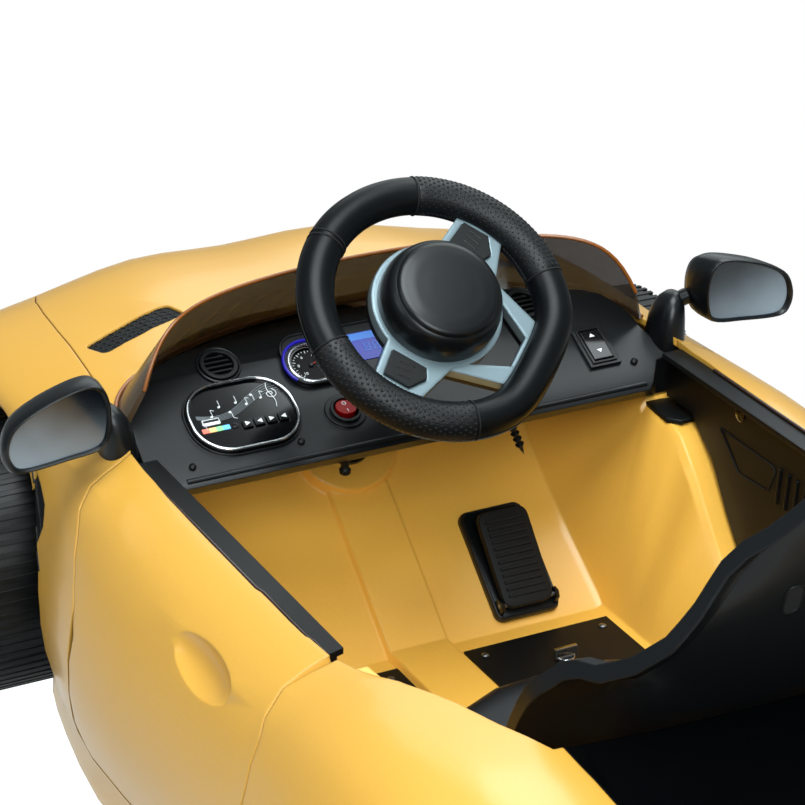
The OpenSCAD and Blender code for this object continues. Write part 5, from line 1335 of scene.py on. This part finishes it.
    def switches(self) -> None:
        """Marks the power rocker with O and I and the direction rocker with arrows."""
        tip = face_frame(*ROCKER_PLACE) @ turned(9, "X") @ shift(0, 0, 0.0049)
        ring = [(0.0013 * x, -0.0037 + 0.0016 * y) for x, y, _ in circle(1, 20)]
        Piece("rocker_off_mark", Look.WHITE, "power_switch", tip).beads([ring], 0.0003, True)
        Piece("rocker_on_mark", Look.WHITE, "power_switch", tip).beads([[(0, 0.0022), (0, 0.005)]], 0.0003)
        for label, down, way in (("forward", -0.0085, -1), ("back", 0.0062, 1)):
            arrow = [(-0.0022, -way * 0.0014), (0.0022, -way * 0.0014), (0.0, way * 0.0018)]
            place = face_frame(-0.157, 0.0484 + down, 0.0041)
            Piece(f"direction_mark_{label}", Look.WHITE, "direction_switch", place).slab(arrow, -0.0002, 0.0002)

    def clip(self) -> None:
        """Builds the foot, the lower lip and the barbed trim clip under the dashboard."""
        Piece("dash_foot", Look.CARD, place=shift(0.0594, -0.122, above(0.195))).lathe(
            [(0, 0), (0.0028, 0), (0.004, 0.0012), (0.0042, 0.004), (0.003, 0.0055), (0.003, 0.014), (0, 0.014)])
        lip = [(x, 0.0885, -0.0015) for x in spaced(-0.18, 0.18, 25)]
        Piece("dash_lip", Look.SATIN, place=face_frame(0.0, 0.0)).beads([lip], 0.0024)
        profile = [(0, 0)]
        for base in spaced(-0.003, -0.018, 4):
            profile += [(0.0014, base), (0.0034, base - 0.0006), (0.0014, base - 0.0042)]
        profile += [(0.0012, -0.024), (0.0, -0.0285)]
        place = shift(-0.068, -0.1155, above(0.2095)) @ turned(23, "Y")
        Piece("trim_clip", Look.CARD, place=place).lathe(profile, 12)

    def build(self) -> None:
        """Builds the dashboard's dress."""
        self.housing()
        self.gauges()
        self.display()
        self.music()
        self.switches()
        self.clip()


@dataclass
class Seat:
    """The bucket seat: a formed sheet with a banded rim along its curved edge, and two belt slots.

    Its places are in millimetres: along the car, above the tyres' foot, and half the width.
    """

    stations: Sequence[Point] = (
        (83.2, 109.9, 136.3), (95.7, 120.4, 140.6), (150.8, 116.4, 145.0), (202.8, 114.7, 147.9), (254.8, 127.3, 147.9),
        (291.2, 165.6, 147.9), (330.7, 236.3, 145.0), (359.8, 290.9, 121.8), (379.6, 347.4, 81.2), (397.3, 404.0, 29.0))
    flanks: Sequence[Pair] = (
        (0, 4), (1, 6), (2, 8), (3, 12), (4, 24), (5, 44), (6, 48), (6.5, 41), (7, 17), (7.25, 8), (7.5, 3),
        (7.75, 3.5), (8, 8), (8.25, 13), (8.5, 7), (8.75, 4), (9, 3))
    front: Sequence[Pair] = ((0, 0), (0.3, 0), (0.6, 0.08), (0.8, 0.45), (0.93, 0.98), (1, 1))
    rear: Sequence[Point] = (
        (1, 1, -12), (0.985, 1, -12.6), (0.86, 0.71, -6.8), (0.84, 0.63, -6.4), (0.825, 0.56, -4), (0.8, 0.45, -4),
        (0.6, 0.08, -4), (0.3, 0, -4), (0, 0, -4))
    band: float = 4.0
    nose: float = 28.0
    steps: int = 54
    slot_station: float = 7.72
    slot_x: float = 0.029
    slot: Point = (0.019, 0.010, 0.0046)
    slot_rim: Point = (0.0205, 0.0115, 0.0052)

    def spot(self, t: float) -> tuple[Vector, Vector]:
        """Finds a place along the sheet.

        Args:
            t: the station, with a share of the way to the next.

        Returns:
            The sheet's middle and half width there, and the way along it.
        """
        last = len(self.stations) - 1
        i = min(last - 1, int(t))
        f = t - i
        a, b, c, d = points = [Vector(self.stations[min(last, max(0, i + k))]) for k in (-1, 0, 1, 2)]
        way = 0.5 * ((c - a) + 2 * (2 * a - 5 * b + 4 * c - d) * f + 3 * (3 * b - a - 3 * c + d) * f ** 2)
        return curve_at(points, f), way

    def flank(self, t: float) -> float:
        """Returns the height of the seat's side at a station.

        Args:
            t: the station, with a share of the way to the next.

        Returns:
            The height.
        """
        for (low, first), (high, second) in zip(self.flanks, self.flanks[1:]):
            if t <= high:
                f = (t - low) / (high - low)
                return first + (second - first) * f * f * (3 - 2 * f)
        return self.flanks[-1][1]

    def ring(self, t: float) -> list[Point]:
        """Returns the sheet's section at a station.

        Args:
            t: the station, with a share of the way to the next.

        Returns:
            The section's points, all the way round.
        """
        at, way = self.spot(t)
        out = Vector((-way.y, way.x)).normalized()
        rise = self.flank(t)
        half = [(q, h, 0.0, 0.0) for q, h in self.front]
        back = [(q, h, lift, self.band if q > 0.7 else 0.0) for q, h, lift in self.rear]
        mirrored = [(-q, h, lift, -wide) for q, h, lift, wide in (back[-2::-1] + half[:0:-1])]
        points = []
        for q, h, lift, wide in half + back + mirrored:
            ahead = self.nose * (1 - min(1, max(0, (abs(q) - 0.25) / 0.35))) * max(0, 1 - t / 4)
            reach = h * rise + lift
            points.append((q * (at.z + abs(wide)) / 1000, (at.x - ahead + out.x * reach) / 1000,
                           above((at.y + out.y * reach) / 1000)))
        return points

    def slots(self) -> None:
        """Fills the belt slots with dark slabs, painted shade where the seat has its belt holes, in a raised surround.
        """
        at, way = self.spot(self.slot_station)
        along = Vector((0, way.x, way.y)).normalized()
        out = Vector((0, -along.z, along.y))
        for side, label in SIDES:
            place = facing(Vector((side * self.slot_x, at.x / 1000, above(at.y / 1000))), out, along)
            # the dark slab is painted shade in the seat's belt hole
            Piece(f"belt_slot_{label}", Look.HOLE, place=place).slab(rounded(*self.slot), -0.0046, 0.0005)
            rim = Piece(f"belt_slot_rim_{label}", Look.SEAT, place=place @ shift(0, 0, -0.0041))
            rim.beads([rounded(*self.slot_rim)], 0.0009, True)

    def build(self) -> None:
        """Builds the seat in place of its plain solid."""
        rings = [self.ring(t) for t in spaced(0, len(self.stations) - 1, self.steps + 1)]
        Piece("seat_sheet", Look.SEAT, solids=("seat",)).loft(rings, 38)
        self.slots()


@dataclass
class Cabin:
    """The footwell tub with its floor plates, pedal, ledge pads and door card details."""

    plate: Point = (0.053, 0.089, 0.007)
    plate_lip: Point = (0.05, 0.086, 0.006)
    tread: Point = (0.041, 0.075, 0.008)
    rib: Point = (0.031, 0.0024, 0.0018)
    screw: Point = (0.0062, 0.0062, 0.0022)
    ramp_rise: float = 41.2
    ramp_foot: Point = (-0.093, -0.1248, 0.037)
    hinge: Point = (0, 0.010, 0.010)
    pad_corners: Sequence[Pair] = ((0.190, -0.135), (0.2135, -0.130), (0.2135, -0.094), (0.196, -0.092), (0.188, -0.1))
    card_x: float = 0.203
    cap_place: Pair = (-0.0277, 0.2255)
    recess: Sequence[Pair] = ((-0.052, 0.2045), (0.016, 0.2035), (0.0195, 0.2), (0.0125, 0.184), (0.009, 0.182),
                              (-0.026, 0.18))
    screw_places: Sequence[Pair] = ((0.038, -0.094), (0.136, -0.094), (0.136, 0.06))

    def mouldings(self) -> None:
        """Dresses the tub and the floor fittings."""
        reskin(Look.TUB, "footwell_tub", angle=30)
        reskin(Look.SATIN, "column_bush")
        reskin(Look.CARD, "seat_base", "battery")
        reskin(Look.CHROME, "seat_knob", body="seat_catch")
        reskin(Look.FRAME, "chassis_pan")

    def pedal(self) -> None:
        """Builds the accelerator pedal on its base, with rounded corners and fine ribs."""
        x, y, z = self.ramp_foot
        ramp = shift(x, y, above(z)) @ turned(180, "Z") @ turned(self.ramp_rise, "X") @ shift(0, 0.006, 0.0004)
        middle = ramp @ shift(0, 0.0445)
        plate = Piece("pedal_plate", Look.SATIN, place=middle, solids=("pedal_base",))
        plate.slab(rounded(*self.plate), 0.0, 0.0045, 0.001)
        lip = Piece("pedal_plate_lip", Look.SATIN, place=middle @ shift(0, 0, 0.0048))
        lip.beads([rounded(*self.plate_lip)], 0.0012, True)
        ear = [(-0.006, 0), (0.006, 0), (0.0045, 0.0085), (0.0, 0.011), (-0.0045, 0.0085)]
        for side, label in SIDES:
            place = ramp @ shift(side * 0.0227, 0.010, 0.004) @ turned(90, "Z") @ turned(90, "X")
            Piece(f"pedal_ear_{label}", Look.SATIN, place=place).slab(ear, -0.0015, 0.0015, 0.0004)
        tread = ramp @ shift(*self.hinge) @ turned(8, "X") @ shift(0, 0.0335)
        pad = Piece("pedal_pad", Look.RUBBER, "pedal", tread, ("accelerator_pedal",))
        pad.slab(rounded(*self.tread), -0.003, 0.003, 0.0014)
        Piece("pedal_pin", Look.STEEL, "pedal", ramp @ shift(*self.hinge) @ turned(90, "Y")).lathe(
            [(0, -0.0246), (0.0019, -0.0246), (0.0019, 0.0246), (0, 0.0246)])
        ribs = [Spot(shift(0, y, 0.0032)) for y in spaced(-0.0285, 0.0287, 12)]
        Piece("pedal_ribs", Look.RUBBER, "pedal", tread).stamps(Stamp.BLOCK, ribs, self.rib)

    def ledge_pads(self) -> None:
        """Sets the black pads on the ledges beside the dashboard."""
        skin = surface_of("footwell_tub")
        for side, label in SIDES:
            height = top_at(skin, side * 0.203, -0.112, above(0.215)) or above(0.193)
            outline = [(side * x, y) for x, y in self.pad_corners]
            Piece(f"{label}_ledge_pad", Look.CARD).slab(outline, height - 0.001, height + 0.0025, 0.001)

    def card_details(self) -> None:
        """Adds the cap, the recess line of painted shade, the strip coloured with a painted reflection, and the ribs of
        the door cards.
        """
        for side, label in SIDES:
            body = f"door_{label}"
            cap = shift(side * self.card_x, self.cap_place[0], above(self.cap_place[1])) @ turned(-90 * side, "Y")
            Piece(f"{label}_card_cap", Look.GLOSS, body, cap).lathe(
                [(0, -0.0006), (0.0062, -0.0006), (0.006, 0.0008), (0.0042, 0.0018), (0, 0.002)], 28)
            # painted shade: a dark line along the recess's edge
            line = [(side * (self.card_x - 0.0004), y, above(z)) for y, z in self.recess]
            Piece(f"{label}_card_recess", Look.HOLE, body).beads([line], 0.0005, True)
            card = surface_of(f"{label}_door_card")
            strip = []
            for y in spaced(-0.08, 0.22, 40):
                found = [side * x for x in (0.19 + 0.0015 * k for k in range(60))
                         if (top_at(card, side * x, y) or 0) > above(0.226)]
                if found:
                    strip.append((found[-1], y, top_at(card, found[-1], y) + 0.0006))
            # the strip's brown is a painted reflection of the yellow bodywork on black trim
            Piece(f"{label}_card_strip", Look.STRIP, body).beads([strip], 0.0016)
            x = side * (self.card_x - 0.0002)
            ribs = [[(x, y, above(0.178)), (x, y + 0.003, above(0.206))] for y in spaced(0.023, 0.0545, 4)]
            Piece(f"{label}_card_ribs", Look.CARD, body).beads(ribs, 0.0016)

    def screws(self) -> None:
        """Sets screws in the floor plates."""
        skin = surface_of("seat_base")
        spots = []
        for (side, _), (x, y) in product(SIDES, self.screw_places):
            z = top_at(skin, x * side, y, above(0.2))
            if z:
                spots.append(Spot(shift(x * side, y, z + 0.0004)))
        Piece("plate_screws", Look.STEEL).stamps(Stamp.DOME, spots, self.screw)

    def build(self) -> None:
        """Builds the cabin's dress."""
        self.mouldings()
        self.pedal()
        self.ledge_pads()
        self.card_details()
        self.screws()


@dataclass
class RunningGear:
    """The wheels, steering linkage and drive."""

    axles: Sequence[tuple[str, float]] = (("front", -0.3), ("rear", 0.327))
    ribs: int = 72
    rib_place: Pair = (0.265, 0.0996)
    rib_size: Point = (0.062, 0.0042, 0.0018)
    studs: int = 5
    stud_place: Pair = (0.2933, 0.026)
    stud_size: Point = (0.007, 0.007, 0.005)
    cap_x: float = 0.2925

    def wheel(self, end: str, y: float, side: int, label: str) -> None:
        """Dresses one wheel with its tread, studs and cap.

        Args:
            end: the name of its end of the car.
            y: where its axle is.
            side: 1 on the car's left and -1 on its right.
            label: the side's name.
        """
        node, body = f"{end}_{label}_wheel", f"wheel_{end}_{label}"
        reskin(Look.TYRE, node, body=body)
        place = facing(Vector((0, y, above(AXLE_HEIGHT))), LEFTWARD * side, REARWARD)
        x, reach = self.rib_place
        ribs = [Spot(turned(360 * k / self.ribs, "Z") @ shift(reach, 0, x) @ turned(90, "Y")) for k in range(self.ribs)]
        Piece(f"{node}_tread", Look.TYRE, body, place).stamps(Stamp.BLOCK, ribs, self.rib_size)
        x, reach = self.stud_place
        turns = [2 * math.pi * (k + 0.5) / self.studs for k in range(self.studs)]
        studs = [Spot(shift(reach * math.cos(a), side * reach * math.sin(a), x)) for a in turns]
        Piece(f"{node}_studs", Look.CHROME, body, place).stamps(Stamp.DOME, studs, self.stud_size)
        Piece(f"{node}_cap", Look.SILVER, body, place @ shift(0, 0, self.cap_x)).lathe(
            [(0, -0.001), (0.014, -0.001), (0.0145, 0.003), (0.012, 0.005), (0, 0.0056)], 36)

    def build(self) -> None:
        """Builds the running gear's dress."""
        for side, label in SIDES:
            for end, y in self.axles:
                self.wheel(end, y, side, label)
            reskin(Look.STEEL, f"{label}_knuckle", body=f"knuckle_{label}")
        reskin(Look.STEEL, "tie_rod", body="track_rod")
        reskin(Look.STEEL, "rear_axle")
        reskin(Look.CARD, "drive_motors")


@dataclass
class Pedestal:
    """The plated base, pump, lever and the swivelling frame."""

    ring_radii: Sequence[float] = (0.2702, 0.252, 0.126)
    bolts: int = 6
    bolt_reach: float = 0.092
    bolt_size: Point = (0.01, 0.01, 0.0044)

    def build(self) -> None:
        """Builds the pedestal's dress."""
        reskin(Look.POLISHED, "base_plate", body="pedestal")
        reskin(Look.RUBBER, "base_ring", body="pedestal")
        reskin(Look.CHROME, "pump_housing", body="pedestal")
        reskin(Look.STEEL, "lever_pin", body="pedestal")
        reskin(Look.CHROME, "pump_lever", body="foot_lever")
        reskin(Look.RUBBER, "lever_pad", body="foot_lever")
        reskin(Look.CHROME, "pump_piston", body="lift")
        reskin(Look.STEEL, "swivel_plate", body="lift")
        reskin(Look.FRAME, "mount_frame")
        reskin(Look.STEEL, "mount_bolts")
        skin = surface_of("base_plate", "base_ring", "pump_housing")
        rings = [circle(r, 96, top_at(skin, 0, r)) for r in self.ring_radii]
        Piece("base_trim_rings", Look.CHROME, "pedestal").beads(rings, 0.0011, True)
        spots = []
        for k in range(self.bolts):
            a = 2 * math.pi * (k + 0.5) / self.bolts
            x, y = self.bolt_reach * math.cos(a), self.bolt_reach * math.sin(a)
            spots.append(Spot(shift(x, y, top_at(skin, x, y, 0.3) + 0.0015)))
        Piece("flange_bolts", Look.STEEL, "pedestal").stamps(Stamp.DISC, spots, self.bolt_size)


@dataclass
class Studio:
    """The pale floor, the soft lights and the camera at the photograph's angle."""

    direction: Point = (-0.41, -0.8116, -0.4163)
    offset: Point = (0.869, 1.669, 0.790)
    focal_px: float = 3000.0
    photo_px: float = 805.0
    sensor: float = 36.0
    lamps: Sequence[tuple[Point, float, float]] = (
        ((-1.2, -0.75, 2.4), 1.3, 14), ((0.2, 0.5, 3.2), 2.0, 84), ((0.9, 2.9, 2.6), 2.0, 80),
        ((-1.5, -2.4, 2.3), 2.8, 24), ((2.6, 0.2, 2.2), 1.8, 12))
    aim: Point = (0, 0, 0.5)
    tint: Colour = (0.9, 0.98, 1.0)
    ambient: float = 0.24
    floor_half: float = 9.0
    floor_fade: Pair = (0.35, 1.6)

    def floor(self) -> None:
        """Makes the floor; the camera sees it pale near the base and not at all far off or from below."""
        h = self.floor_half
        mesh = bpy.data.meshes.new("floor")
        mesh.from_pydata([(-h, -h, 0), (h, -h, 0), (h, h, 0), (-h, h, 0)], [], [(0, 1, 2, 3)])
        net = ShaderNet(bpy.data.materials.new("floor_pale"))
        seen = net.field("ShaderNodeLightPath", output="Is Camera Ray")
        plain = net.out("ShaderNodeBsdfDiffuse", {"Color": (0.7, 0.7, 0.7, 1)})
        white = net.out("ShaderNodeEmission", {"Color": (1, 1, 1, 1), "Strength": 0.8})
        both = net.out("ShaderNodeAddShader", {0: plain, 1: white})
        shown = net.out("ShaderNodeMixShader", {0: seen, 1: plain, 2: both})
        x, y, _ = net.axes(net.places())
        far = (x ** 2.0 + y ** 2.0).step(*self.floor_fade)
        hidden = (far + net.field("ShaderNodeNewGeometry", output="Backfacing")) * seen
        clear = net.out("ShaderNodeBsdfTransparent")
        mesh.materials.append(net.end(net.out("ShaderNodeMixShader", {0: hidden, 1: shown, 2: clear})))
        add_object("floor", mesh)

    def lights(self) -> None:
        """Places the soft lights and the plain world, which the camera sees white."""
        for index, (at, size, power) in enumerate(self.lamps):
            data = bpy.data.lights.new(f"softbox_{index + 1}", "AREA")
            data.shape, data.size, data.energy, data.color = "DISK", size, power, self.tint
            lamp = add_object(data.name, data)
            lamp.location = at
            lamp.rotation_euler = (Vector(self.aim) - Vector(at)).to_track_quat("-Z", "Y").to_euler()
        net = ShaderNet(bpy.data.worlds.new("studio"), "ShaderNodeOutputWorld")
        seen = net.out("ShaderNodeLightPath", output="Is Camera Ray")
        soft, white = (net.out("ShaderNodeBackground", {"Color": (*colour, 1), "Strength": strength})
                       for colour, strength in ((self.tint, self.ambient), ((1, 1, 1), 1.0)))
        bpy.context.scene.world = net.end(net.out("ShaderNodeMixShader", {0: seen, 1: soft, 2: white}))
        bpy.context.scene.view_settings.view_transform = "Standard"

    def camera(self) -> None:
        """Places the camera at the photograph's angle."""
        data = bpy.data.cameras.new("photo_angle")
        data.lens = self.focal_px / self.photo_px * self.sensor
        data.sensor_width, data.clip_end = self.sensor, 60
        made = add_object("photo_angle", data)
        made.location = Vector(WHEEL_CENTRE) + Vector(self.offset)
        made.rotation_euler = Vector(self.direction).to_track_quat("-Z", "Y").to_euler()
        bpy.context.scene.camera = made

    def build(self) -> None:
        """Builds the studio."""
        self.floor()
        self.lights()
        self.camera()


def main() -> None:
    """Builds the studio and dresses each sub-assembly in order."""
    logging.basicConfig(level=logging.INFO, format="%(name)s: %(message)s")
    for section in (Studio(), Bodywork(), SteeringWheel(), Dashboard(), Cabin(), Seat(), RunningGear(), Pedestal()):
        LOG.info("building %s", type(section).__name__)
        section.build()


if __name__ == "__main__":
    main()
